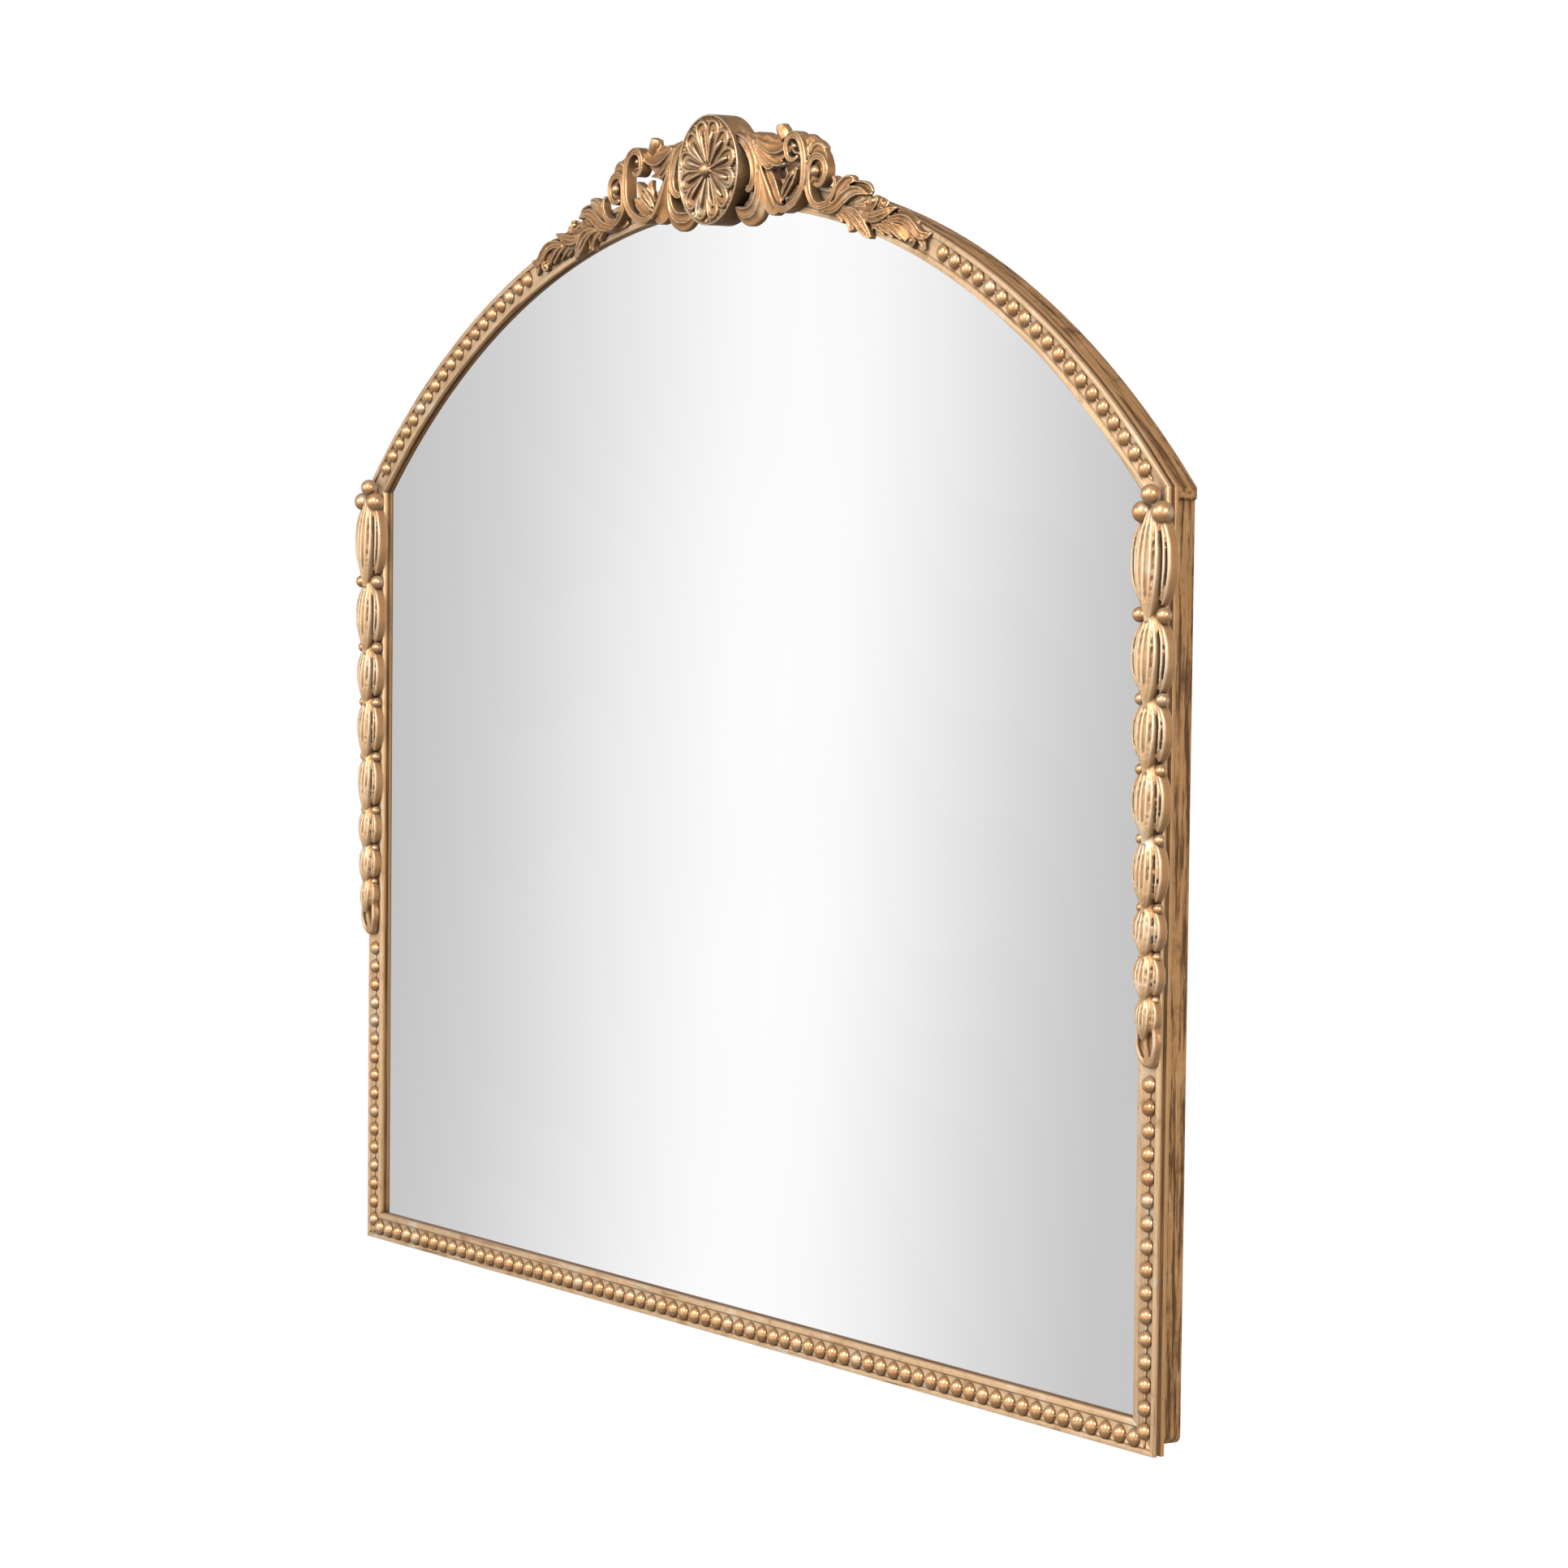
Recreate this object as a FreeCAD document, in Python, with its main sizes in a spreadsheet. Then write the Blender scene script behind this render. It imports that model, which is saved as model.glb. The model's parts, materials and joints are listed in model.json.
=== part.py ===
import FreeCAD, Part
import math
import os

import Sketcher

# Arched wall mirror in a carved and gilded frame.
# X runs across the mirror, the face looks along -Y, Z is up.
# The origin lies on the wall plane, under the middle of the bottom rail.

os.makedirs("parts", exist_ok=True)
doc = FreeCAD.newDocument("arched_wall_mirror")
sheet = doc.addObject("Spreadsheet::Sheet", "sizes")


class Size:
    """A length that carries its number and the sheet expression that gives it."""

    def __init__(self, number, text):
        self.number = float(number)
        self.text = text

    def __float__(self):
        return self.number

    def __neg__(self):
        return Size(-self.number, f"-({self.text})")

    def __add__(self, other):
        return Size(self.number + float(other), f"({self.text} + {written(other)})")

    def __sub__(self, other):
        return Size(self.number - float(other), f"({self.text} - {written(other)})")

    def __mul__(self, other):
        return Size(self.number * float(other), f"({self.text} * {written(other)})")

    def __truediv__(self, other):
        return Size(self.number / float(other), f"({self.text} / {written(other)})")

    def root(self):
        return Size(math.sqrt(self.number), f"sqrt({self.text})")


def written(value):
    """The text of a size, or of a plain share or count."""
    return value.text if isinstance(value, Size) else repr(float(value))


row_count = 0


def cell(alias, number, note):
    """One driving size: a row of the sheet with its alias and its note."""
    global row_count
    row_count += 1
    sheet.set(f"A{row_count}", note)
    sheet.set(f"B{row_count}", str(number))
    sheet.setAlias(f"B{row_count}", alias)
    return Size(number, f"sizes.{alias}")


# The face of the frame
half_width = cell("half_width", 533.0, "centre line to the outer edge of a stile")
spring_height = cell("spring_height", 620.0, "where the arch leaves the stile, outer edge")
arch_rise = cell("arch_rise", 223.3, "top of the arch above its spring")
rail_drop = cell("rail_drop", 11.5, "lower edge of the bottom rail below the origin")
face_width = cell("face_width", 22.0, "width of the moulding")
moulding_depth = cell("moulding_depth", 9.0, "thickness of the moulding")
lip_width = cell("lip_width", 3.4, "outer fillet of the moulding")
cove_width = cell("cove_width", 1.0, "slope between a fillet and the channel")
channel_width = cell("channel_width", 14.4, "channel between the two fillets")
channel_depth = cell("channel_depth", 1.5, "channel under the fillets")
edge_band = cell("edge_band", 3.2, "flat band on the edge, in front of its groove")
edge_groove_width = cell("edge_groove_width", 3.0, "groove along the edge")
edge_groove_depth = cell("edge_groove_depth", 0.9, "groove along the edge")

# The carrying frame behind the moulding
subframe_depth = cell("subframe_depth", 16.5, "wall to the back of the moulding")
stile_inset = cell("stile_inset", 4.0, "carrying frame inside the moulding's edge, at the sides")
arch_inset = cell("arch_inset", 2.0, "the same along the arch")
rail_inset = cell("rail_inset", 6.0, "the same along the bottom")
corner_round = cell("corner_round", 6.0, "lower corners of the carrying frame")
shoulder_drop = cell("shoulder_drop", 9.0, "arch block below the spring")
shoulder_round = cell("shoulder_round", 2.0, "corner of the arch block")

# Glass and panel
glass_thickness = cell("glass_thickness", 4.0, "silvered glass")
glass_overlap = cell("glass_overlap", 5.0, "glass behind the moulding's inner edge")
glass_gap = cell("glass_gap", 1.0, "glass edge to the rebate")
panel_thickness = cell("panel_thickness", 6.0, "back panel")
panel_seat = cell("panel_seat", 6.0, "panel over the rebate's ledge")
rail_ledge = cell("rail_ledge", 4.0, "rebate's ledge behind the rail moulding")
rail_seat = cell("rail_seat", 5.5, "panel over the rail's ledge")
panel_gap = cell("panel_gap", 0.5, "panel edge to the lip")

# Screws
screw_radius = cell("screw_radius", 1.5, "shank of the frame screws")
screw_head_radius = cell("screw_head_radius", 2.8, "head of the frame screws")
screw_head_height = cell("screw_head_height", 1.4, "head of the frame screws")
screw_clearance = cell("screw_clearance", 0.05, "hole wall to shank")
screw_bite = cell("screw_bite", 5.0, "panel screws into the moulding")
crest_bite = cell("crest_bite", 4.5, "pins into the carving")
hole_spare = cell("hole_spare", 0.4, "hole past the tip of its screw")

# Beads
bead_edge = cell("bead_edge", 10.2, "bead centres in from the moulding's outer edge")
bead_across = cell("bead_across", 12.2, "a bead across the channel")
bead_along = cell("bead_along", 10.4, "a bead along the channel")
bead_height = cell("bead_height", 3.6, "a bead above the channel's floor")
bead_pitch = cell("bead_pitch", 15.17, "bead to bead on the stiles and the arch")
stile_bead_start = cell("stile_bead_start", 3.8, "height of the lowest bead on a stile")
rail_bead_inset = cell("rail_bead_inset", 21.3, "last bead of the bottom row from the outer edge")
arch_bead_end = cell("arch_bead_end", 25.2, "lowest arch bead from the spring, along the arch")
leaf_bead_gap = cell("leaf_bead_gap", 12.0, "last arch bead clear of the trailing leaf, at least")
drop_bead_gap = cell("drop_bead_gap", 10.0, "last stile bead clear of the husk drop, at least")
bead_seat = cell("bead_seat", 0.05, "glue under the beads")

# Husk drop
drop_edge = cell("drop_edge", 8.0, "centre line of a husk drop in from the outer edge")
drop_top = cell("drop_top", 2.1, "top of the drop above the spring")
drop_length = cell("drop_length", 379.6, "top ball to the tip of the tongue")
husk_width = cell("husk_width", 42.0, "widest husk")
husk_tuck = cell("husk_tuck", 4.0, "head of a husk under the tip of the one above")
husk_edge = cell("husk_edge", 5.0, "edge of a husk above the moulding")
husk_ridge = cell("husk_ridge", 12.5, "ridge of the widest husk above the moulding")
top_ball_radius = cell("top_ball_radius", 7.9, "ball at the head of the drop")
pair_ball_radius = cell("pair_ball_radius", 7.6, "balls below it")
pair_ball_spread = cell("pair_ball_spread", 10.0, "those balls from the centre line")
waist_ball_radius = cell("waist_ball_radius", 5.5, "largest balls between two husks")

# Crest
crest_length = cell("crest_length", 270.0, "centre to the tip of the trailing leaf, along the arch")
crest_height = cell("crest_height", 40.0, "scale of the carving across the arch")
crest_relief = cell("crest_relief", 12.5, "highest carving above the moulding")
boss_radius = cell("boss_radius", 40.4, "round boss")
boss_rise = cell("boss_rise", 5.7, "boss centre above the arch's outer edge")
boss_front = cell("boss_front", 38.6, "rim of the boss in front of the wall")
boss_rim = cell("boss_rim", 2.6, "width of the rim")
boss_recess = cell("boss_recess", 2.0, "seat of the rosette behind the rim")
boss_gap = cell("boss_gap", 0.15, "arch moulding to the boss")
rosette_gap = cell("rosette_gap", 0.2, "rosette to the rim")
rosette_relief = cell("rosette_relief", 4.6, "ribs above the rosette's seat")
button_radius = cell("button_radius", 5.4, "centre button")
button_relief = cell("button_relief", 8.2, "top of the button above the rosette's seat")

# Hangers
hanger_spread = cell("hanger_spread", 330.0, "hanger from the centre line")
hanger_height = cell("hanger_height", 520.0, "hinge of the ring above the origin")
strap_width = cell("strap_width", 12.0, "hanger strap")
strap_length = cell("strap_length", 36.0, "hanger strap below its hinge")
strap_thickness = cell("strap_thickness", 0.8, "hanger strap")
wire_radius = cell("wire_radius", 1.1, "ring wire")
hinge_clearance = cell("hinge_clearance", 0.05, "ring wire in the strap's eye")
ring_width = cell("ring_width", 22.0, "ring between the centres of its sides")
ring_height = cell("ring_height", 16.0, "ring hinge to the top of the bow")
ring_rest_gap = cell("ring_rest_gap", 0.3, "bow to the panel at rest")
strap_screw_radius = cell("strap_screw_radius", 1.4, "shank of the hanger screws")
strap_screw_head = cell("strap_screw_head", 3.0, "head radius of the hanger screws")
strap_screw_length = cell("strap_screw_length", 5.0, "hanger screws into strap and panel")
overrun = cell("overrun", 5.0, "cutting shapes past the stock")
arch_spare = cell("arch_spare", 12.0, "arch swept past its mitre before the cut")

doc.recompute()

# Sizes that follow from the driving ones
front = subframe_depth + moulding_depth
sight_half = half_width - face_width
arch_radius = (half_width * half_width + arch_rise * arch_rise) / (arch_rise * 2)
arch_top = spring_height + arch_rise
arch_centre = arch_top - arch_radius
middle_radius = arch_radius - face_width / 2
sight_radius = arch_radius - face_width
ledge = glass_overlap + glass_gap
ledge_half = sight_half + ledge
ledge_radius = sight_radius + ledge
ledge_bottom = face_width - rail_drop - rail_ledge
panel_half = ledge_half + panel_seat
panel_radius = ledge_radius + panel_seat
panel_bottom = ledge_bottom - rail_seat
lip_half = panel_half + panel_gap
lip_radius = panel_radius + panel_gap
lip_bottom = panel_bottom - panel_gap
block_half = half_width - stile_inset
block_bottom = rail_inset - rail_drop
block_radius = arch_radius - arch_inset
shoulder = spring_height - shoulder_drop
shoulder_half = half_width - arch_inset
panel_front = subframe_depth - glass_thickness
panel_back = panel_front - panel_thickness
channel_floor = front - channel_depth
boss_centre = arch_top + boss_rise
bead_radius = arch_radius - bead_edge
hinge_depth = panel_back - strap_thickness - hinge_clearance - wire_radius
screw_hole = screw_radius + screw_clearance
zero = half_width - half_width

# Counts, angles and shares chosen by hand
BEAD_SIDES = 5
BEAD_TOP_SHARE = 0.55
BORE_SIDES = 6
PETALS = 12
TOUCH = 0.01
STILE_SCREW_SHARES = (0.12, 0.50, 0.88)
RAIL_SCREW_SHARES = (0.24, 0.72)
ARCH_SCREW_SHARES = (0.25, 0.75)
BOSS_PIN_SHARE = 0.045
LEAF_PIN_SHARES = (0.23, 0.345, 0.62, 0.78)
STRAP_SCREW_SHARES = (0.40, 0.78)

spring_angle = math.atan2(float(half_width), float(spring_height - arch_centre))
screw_circle = ledge_radius + panel_seat / 2


def height_on(radius, across):
    """Height of a circle about the arch's centre, at a distance across."""
    return arch_centre + (radius * radius - across * across).root()


def around(radius, angle):
    """The point of a circle about the arch's centre, at an angle from the top."""
    return radius * math.sin(angle), arch_centre + radius * math.cos(angle)


def both_sides(places):
    return places + [(-across, up) for across, up in places]


stile_screws = [(ledge_half + panel_seat / 2, shoulder * share) for share in STILE_SCREW_SHARES]
rail_screws = [(ledge_half * share, ledge_bottom - rail_seat / 2) for share in RAIL_SCREW_SHARES]
arch_screws = [around(screw_circle, spring_angle * share) for share in ARCH_SCREW_SHARES]
reach_angle = float(crest_length) / float(middle_radius)
boss_pins = [around(screw_circle, reach_angle * BOSS_PIN_SHARE)]
leaf_pins = [around(screw_circle, reach_angle * share) for share in LEAF_PIN_SHARES]
strap_screws = [(hanger_spread, hanger_height - strap_length * share)
                for share in STRAP_SCREW_SHARES]

# As many beads as fit between the ornaments at their pitch
rail_bead_end = half_width - rail_bead_inset
drop_foot = spring_height + drop_top - drop_length
stile_beads = 1 + int(float(drop_foot - drop_bead_gap - stile_bead_start) / float(bead_pitch))
rail_beads = 1 + round(float(rail_bead_end * 2) / float(bead_pitch))
beaded_arch = (spring_angle - reach_angle) * float(bead_radius) - float(arch_bead_end)
arch_beads = 1 + int((beaded_arch - float(leaf_bead_gap)) / float(bead_pitch))
nodes = []


def keep(feature):
    nodes.append(feature)
    return feature


def new_body(label):
    body = doc.addObject("PartDesign::Body", label)
    body.Label = label
    return keep(body)


def sketch_on(body, role, title, lift=None):
    """A sketch on one of the body's own planes, lifted off it by a size."""
    sketch = body.newObject("Sketcher::SketchObject", title)
    plane = next(f for f in body.Origin.OriginFeatures if f.Role == role)
    sketch.AttachmentSupport = [(plane, "")]
    sketch.MapMode = "FlatFace"
    if lift is not None:
        sketch.setExpression(".AttachmentOffset.Base.z", lift.text)
    return sketch


def bind(sketch, kind, *where, value):
    """A constraint whose value follows the sheet."""
    index = sketch.addConstraint(Sketcher.Constraint(kind, *where, float(value)))
    if isinstance(value, Size) and value is not zero:
        sketch.setExpression(f"Constraints[{index}]", value.text)


def outline(sketch, corners, arcs=None, centre_height=None):
    """A closed outline through the corners. arcs gives the radius of each edge that is part
    of a circle about the centre height, by the number of the edge."""
    arcs = arcs or {}
    middle = float(arch_centre if centre_height is None else centre_height)
    centre = FreeCAD.Vector(0, middle, 0)
    spots = [FreeCAD.Vector(float(a), float(b), 0) for a, b in corners]
    ends = []
    for i, spot in enumerate(spots):
        after = spots[(i + 1) % len(spots)]
        if i in arcs:
            circle = Part.Circle(centre, FreeCAD.Vector(0, 0, 1), float(arcs[i]))
            here, there = circle.parameter(spot), circle.parameter(after)
            arc = Part.ArcOfCircle(circle, min(here, there), max(here, there))
            edge = sketch.addGeometry(arc)
            ends.append((edge, 1, 2) if here < there else (edge, 2, 1))
            bind(sketch, "Radius", edge, value=arcs[i])
        else:
            edge = sketch.addGeometry(Part.LineSegment(spot, after))
            ends.append((edge, 1, 2))
    for i, (across, up) in enumerate(corners):
        edge, first, _ = ends[i]
        before, _, last = ends[i - 1]
        sketch.addConstraint(Sketcher.Constraint("Coincident", before, last, edge, first))
        bind(sketch, "DistanceX", -1, 1, edge, first, value=across)
        bind(sketch, "DistanceY", -1, 1, edge, first, value=up)


def polygon_about(across, up, half_across, half_up, sides):
    """Corners of a regular polygon, stretched to a half width and a half height."""
    corners = []
    for step in range(sides):
        turn = math.tau * (step + 0.5) / sides
        corners.append((across + half_across * math.cos(turn), up + half_up * math.sin(turn)))
    return corners


def circle_at(sketch, across, up, radius):
    spot = FreeCAD.Vector(float(across), float(up), 0)
    ring = sketch.addGeometry(Part.Circle(spot, FreeCAD.Vector(0, 0, 1), float(radius)))
    bind(sketch, "Radius", ring, value=radius)
    bind(sketch, "DistanceX", -1, 1, ring, 3, value=across)
    bind(sketch, "DistanceY", -1, 1, ring, 3, value=up)


def pad(body, sketch, title, length):
    feature = body.newObject("PartDesign::Pad", title)
    feature.Profile = sketch
    feature.setExpression("Length", length.text)
    return feature


def pocket(body, sketch, title, length=None):
    """A cut towards the wall to a depth, or right through both ways."""
    feature = body.newObject("PartDesign::Pocket", title)
    feature.Profile = sketch
    if length is None:
        feature.Type = "ThroughAll"
        feature.SideType = "Symmetric"
    else:
        feature.setExpression("Length", length.text)
    return feature


def holes(body, title, lift, places, radius, depth):
    """Faceted bores that run from the lift towards the wall, the radius to their flats."""
    sketch = sketch_on(body, "XZ_Plane", title + "_places", lift)
    corner = radius / math.cos(math.pi / BORE_SIDES)
    for across, up in places:
        ring = polygon_about(float(across), float(up), float(corner), float(corner), BORE_SIDES)
        spots = [FreeCAD.Vector(a, b, 0) for a, b in ring]
        sketch.addGeometry([Part.LineSegment(spot, after)
                            for spot, after in zip(spots, spots[1:] + spots[:1])])
    return pocket(body, sketch, title, depth)


def round_edge(body, title, across, up, radius):
    """A fillet on the edge that runs front to back through a point of the face."""
    doc.recompute()
    base = body.Tip
    names = []
    for number, edge in enumerate(base.Shape.Edges, 1):
        points = [vertex.Point for vertex in edge.Vertexes]
        off = [abs(p.x - float(across)) + abs(p.z - float(up)) for p in points]
        if len(points) == 2 and max(off) < TOUCH:
            names.append(f"Edge{number}")
    feature = body.newObject("PartDesign::Fillet", title)
    feature.Base = (base, names)
    feature.setExpression("Radius", radius.text)


def mirrored(source, label):
    copy = doc.addObject("Part::Mirroring", label)
    copy.Label = label
    copy.Source = source
    copy.Normal = FreeCAD.Vector(1, 0, 0)
    return keep(copy)


def shaped(label, shape):
    feature = doc.addObject("Part::Feature", label)
    feature.Label = label
    feature.Shape = shape
    return keep(feature)


# The moulding: fillets either side of a channel, and a groove along its edge

def moulding_section(edge, inward):
    """Corners (place, depth) of the section from the outer edge inwards. inward turns a
    distance from the outer edge into a place on the sketch."""
    groove_front = edge_band - front
    groove_back = groove_front + edge_groove_width
    inner_fillet = lip_width + channel_width
    steps = [
        (None, -subframe_depth),
        (None, groove_back),
        (edge_groove_depth, groove_back),
        (edge_groove_depth, groove_front),
        (None, groove_front),
        (None, -front),
        (lip_width, -front),
        (lip_width + cove_width, -channel_floor),
        (inner_fillet - cove_width, -channel_floor),
        (inner_fillet, -front),
        (face_width, -front),
        (face_width, -subframe_depth),
    ]
    return [(edge if off is None else inward(off), depth) for off, depth in steps]


def pilot_holes(body, places):
    depth = screw_bite + hole_spare
    holes(body, "pilot_holes", subframe_depth + depth, places, screw_hole, depth)


def make_stile_moulding():
    body = new_body("right_stile_moulding")
    section = sketch_on(body, "XY_Plane", "stile_section", -rail_drop)
    outline(section, moulding_section(half_width, lambda off: half_width - off))
    pad(body, section, "stile_length", spring_height + rail_drop)
    foot = sketch_on(body, "XZ_Plane", "stile_foot_mitre")
    outline(foot, [
        (half_width + overrun, -rail_drop - overrun),
        (sight_half - overrun, face_width - rail_drop + overrun),
        (sight_half - overrun, -rail_drop - overrun),
    ])
    pocket(body, foot, "cut_foot_mitre")
    top = sketch_on(body, "XZ_Plane", "stile_shoulder_mitre")
    inner = height_on(sight_radius, sight_half)
    slope = (spring_height - inner) / face_width
    outline(top, [
        (half_width + overrun, spring_height + slope * overrun),
        (half_width + overrun, spring_height + face_width),
        (sight_half - overrun, spring_height + face_width),
        (sight_half - overrun, inner - slope * overrun),
    ])
    pocket(body, top, "cut_shoulder_mitre")
    pilot_holes(body, stile_screws)
    return body


def make_rail_moulding():
    body = new_body("bottom_rail_moulding")
    section = sketch_on(body, "YZ_Plane", "rail_section", -half_width)
    corners = moulding_section(-rail_drop, lambda off: off - rail_drop)
    outline(section, [(depth, place) for place, depth in corners])
    pad(body, section, "rail_length", half_width * 2)
    for side in (1, -1):
        mitre = sketch_on(body, "XZ_Plane", "rail_mitre")
        outline(mitre, [
            ((half_width + overrun) * side, -rail_drop - overrun),
            ((half_width + overrun) * side, face_width - rail_drop + overrun),
            ((sight_half - overrun) * side, face_width - rail_drop + overrun),
        ])
        pocket(body, mitre, "cut_mitre")
    pilot_holes(body, both_sides(rail_screws))
    return body


def make_arch_moulding():
    body = new_body("arch_moulding_right")
    section = sketch_on(body, "YZ_Plane", "arch_section")
    corners = moulding_section(arch_top, lambda off: arch_top - off)
    outline(section, [(depth, place) for place, depth in corners])
    start = FreeCAD.Vector(0, float(arch_centre), 0)
    end = FreeCAD.Vector(float(front), float(arch_centre), 0)
    axis = section.addGeometry(Part.LineSegment(start, end), True)
    bind(section, "DistanceY", -1, 1, axis, 1, value=arch_centre)
    bind(section, "DistanceY", -1, 1, axis, 2, value=arch_centre)
    bind(section, "DistanceX", -1, 1, axis, 1, value=zero)
    bind(section, "DistanceX", -1, 1, axis, 2, value=front)
    sweep = body.newObject("PartDesign::Revolution", "arch_sweep")
    sweep.Profile = section
    sweep.ReferenceAxis = (section, ["Axis0"])
    sweep.Angle = math.degrees(spring_angle + float(arch_spare) / float(arch_radius))
    foot = sketch_on(body, "XZ_Plane", "arch_shoulder_mitre")
    inner = height_on(sight_radius, sight_half)
    slope = (spring_height - inner) / face_width
    outline(foot, [
        (half_width + face_width, spring_height + slope * face_width),
        (sight_half - overrun, inner - slope * overrun),
        (sight_half - overrun, spring_height - face_width * 3),
        (half_width + face_width, spring_height - face_width * 3),
    ])
    pocket(body, foot, "cut_shoulder_mitre")
    seat = sketch_on(body, "XZ_Plane", "boss_seat")
    circle_at(seat, zero, boss_centre, boss_radius + boss_gap)
    pocket(body, seat, "cut_boss_seat")
    pilot_holes(body, arch_screws)
    holes(body, "pin_holes", front + overrun, leaf_pins, screw_hole,
          moulding_depth + overrun * 2)
    return body


# The carrying frame, with a rebate for glass and panel

def make_subframe_stile():
    body = new_body("subframe_stile_right")
    face = sketch_on(body, "XZ_Plane", "stile_outline")
    outline(face, [
        (ledge_half, block_bottom),
        (block_half, block_bottom),
        (block_half, shoulder),
        (ledge_half, shoulder),
    ])
    pad(body, face, "stile_block", subframe_depth)
    rebate = sketch_on(body, "XZ_Plane", "stile_rebate", panel_front)
    outline(rebate, [
        (ledge_half - overrun, lip_bottom),
        (lip_half, lip_bottom),
        (lip_half, shoulder + overrun),
        (ledge_half - overrun, shoulder + overrun),
    ])
    pocket(body, rebate, "cut_rebate", panel_front)
    holes(body, "screw_holes", subframe_depth + overrun, stile_screws, screw_hole,
          subframe_depth + overrun * 2)
    round_edge(body, "foot_round", block_half, block_bottom, corner_round)
    return body


def make_subframe_rail():
    body = new_body("subframe_rail")
    face = sketch_on(body, "XZ_Plane", "rail_outline")
    outline(face, [
        (-ledge_half, block_bottom),
        (ledge_half, block_bottom),
        (ledge_half, ledge_bottom),
        (-ledge_half, ledge_bottom),
    ])
    pad(body, face, "rail_block", subframe_depth)
    rebate = sketch_on(body, "XZ_Plane", "rail_rebate", panel_front)
    outline(rebate, [
        (-ledge_half - overrun, lip_bottom),
        (ledge_half + overrun, lip_bottom),
        (ledge_half + overrun, ledge_bottom + overrun),
        (-ledge_half - overrun, ledge_bottom + overrun),
    ])
    pocket(body, rebate, "cut_rebate", panel_front)
    holes(body, "screw_holes", subframe_depth + overrun, both_sides(rail_screws), screw_hole,
          subframe_depth + overrun * 2)
    return body


def make_subframe_arch():
    body = new_body("subframe_arch_right")
    face = sketch_on(body, "XZ_Plane", "arch_outline")
    outline(face, [
        (zero, arch_centre + ledge_radius),
        (ledge_half, height_on(ledge_radius, ledge_half)),
        (ledge_half, shoulder),
        (shoulder_half, shoulder),
        (shoulder_half, height_on(block_radius, shoulder_half)),
        (zero, arch_centre + block_radius),
    ], {0: ledge_radius, 4: block_radius})
    pad(body, face, "arch_block", subframe_depth)
    rebate = sketch_on(body, "XZ_Plane", "arch_rebate", panel_front)
    outline(rebate, [
        (zero, arch_centre + sight_radius),
        (sight_half, height_on(sight_radius, sight_half)),
        (sight_half, shoulder - overrun),
        (lip_half, shoulder - overrun),
        (lip_half, height_on(lip_radius, lip_half)),
        (zero, arch_centre + lip_radius),
    ], {0: sight_radius, 4: lip_radius})
    pocket(body, rebate, "cut_rebate", panel_front)
    holes(body, "screw_holes", subframe_depth + overrun, arch_screws + boss_pins + leaf_pins,
          screw_hole, subframe_depth + overrun * 2)
    round_edge(body, "shoulder_rounding", shoulder_half, shoulder, shoulder_round)
    return body


# Glass and panel

def make_pane(label, half, foot, radius, lift, thickness):
    """A flat pane with an arched head, its back at the lift from the wall."""
    body = new_body(label)
    face = sketch_on(body, "XZ_Plane", "pane_outline", lift)
    spring = height_on(radius, half)
    outline(face, [(-half, foot), (half, foot), (half, spring), (-half, spring)], {2: radius})
    pad(body, face, "pane_thickness", thickness)
    return body


def make_panel():
    body = make_pane("back_panel", panel_half, panel_bottom, panel_radius, panel_back,
                     panel_thickness)
    places = both_sides(stile_screws + rail_screws + arch_screws)
    holes(body, "screw_holes", panel_front + overrun, places, screw_hole,
          panel_thickness + overrun * 2)
    depth = strap_screw_length - strap_thickness + hole_spare
    holes(body, "hanger_screw_holes", panel_back + depth, both_sides(strap_screws),
          strap_screw_radius + screw_clearance, depth)
    return body


def skin(rings):
    """A closed solid through a run of flat rings with as many points each."""
    faces = []
    for near, far in zip(rings, rings[1:]):
        for i in range(len(near)):
            j = (i + 1) % len(near)
            for corners in ((near[i], near[j], far[j]), (near[i], far[j], far[i])):
                faces.append(Part.Face(Part.makePolygon([*corners, corners[0]])))
    for ring in (rings[0], rings[-1]):
        faces.append(Part.Face(Part.makePolygon([*ring, ring[0]])))
    shell = Part.makeShell(faces)
    shell.sewShape()
    solid = Part.makeSolid(shell)
    return solid if solid.Volume > 0 else solid.reversed()


# Beads in the channel, each row a group of separate domes

def dome(x, z, turn):
    """One bead on the channel's floor, its pointed end turned from straight up by an angle."""
    rings = []
    foot = channel_floor + bead_seat
    for share, depth in ((1, foot), (BEAD_TOP_SHARE, channel_floor + bead_height)):
        corners = polygon_about(0.0, 0.0, float(bead_along) / 2 * share,
                                float(bead_across) / 2 * share, BEAD_SIDES)
        rings.append([FreeCAD.Vector(x + a * math.cos(turn) - b * math.sin(turn), -float(depth),
                                     z - a * math.sin(turn) - b * math.cos(turn))
                      for b, a in corners])
    return skin(rings)


def make_stile_beads():
    x = float(half_width - bead_edge)
    return shaped("bead_row_right", Part.makeCompound([
        dome(x, float(stile_bead_start + bead_pitch * step), 0) for step in range(stile_beads)]))


def make_rail_beads():
    z, end = float(bead_edge - rail_drop), float(rail_bead_end)
    return shaped("bead_row_bottom", Part.makeCompound([
        dome(end * (2 * step / (rail_beads - 1) - 1), z, math.pi / 2)
        for step in range(rail_beads)]))


def make_arch_beads():
    domes = []
    for step in range(arch_beads):
        up_the_arch = float(arch_bead_end + bead_pitch * step)
        angle = spring_angle - up_the_arch / float(bead_radius)
        x, z = around(bead_radius, angle)
        domes.append(dome(float(x), float(z), angle + math.pi / 2))
    return shaped("bead_row_arch_right", Part.makeCompound(domes))


# Carved work: keeled strands and balls that stand on the moulding

RIDGE_EDGE_SHARE = 0.55
BALL_SIDES = 6


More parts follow.
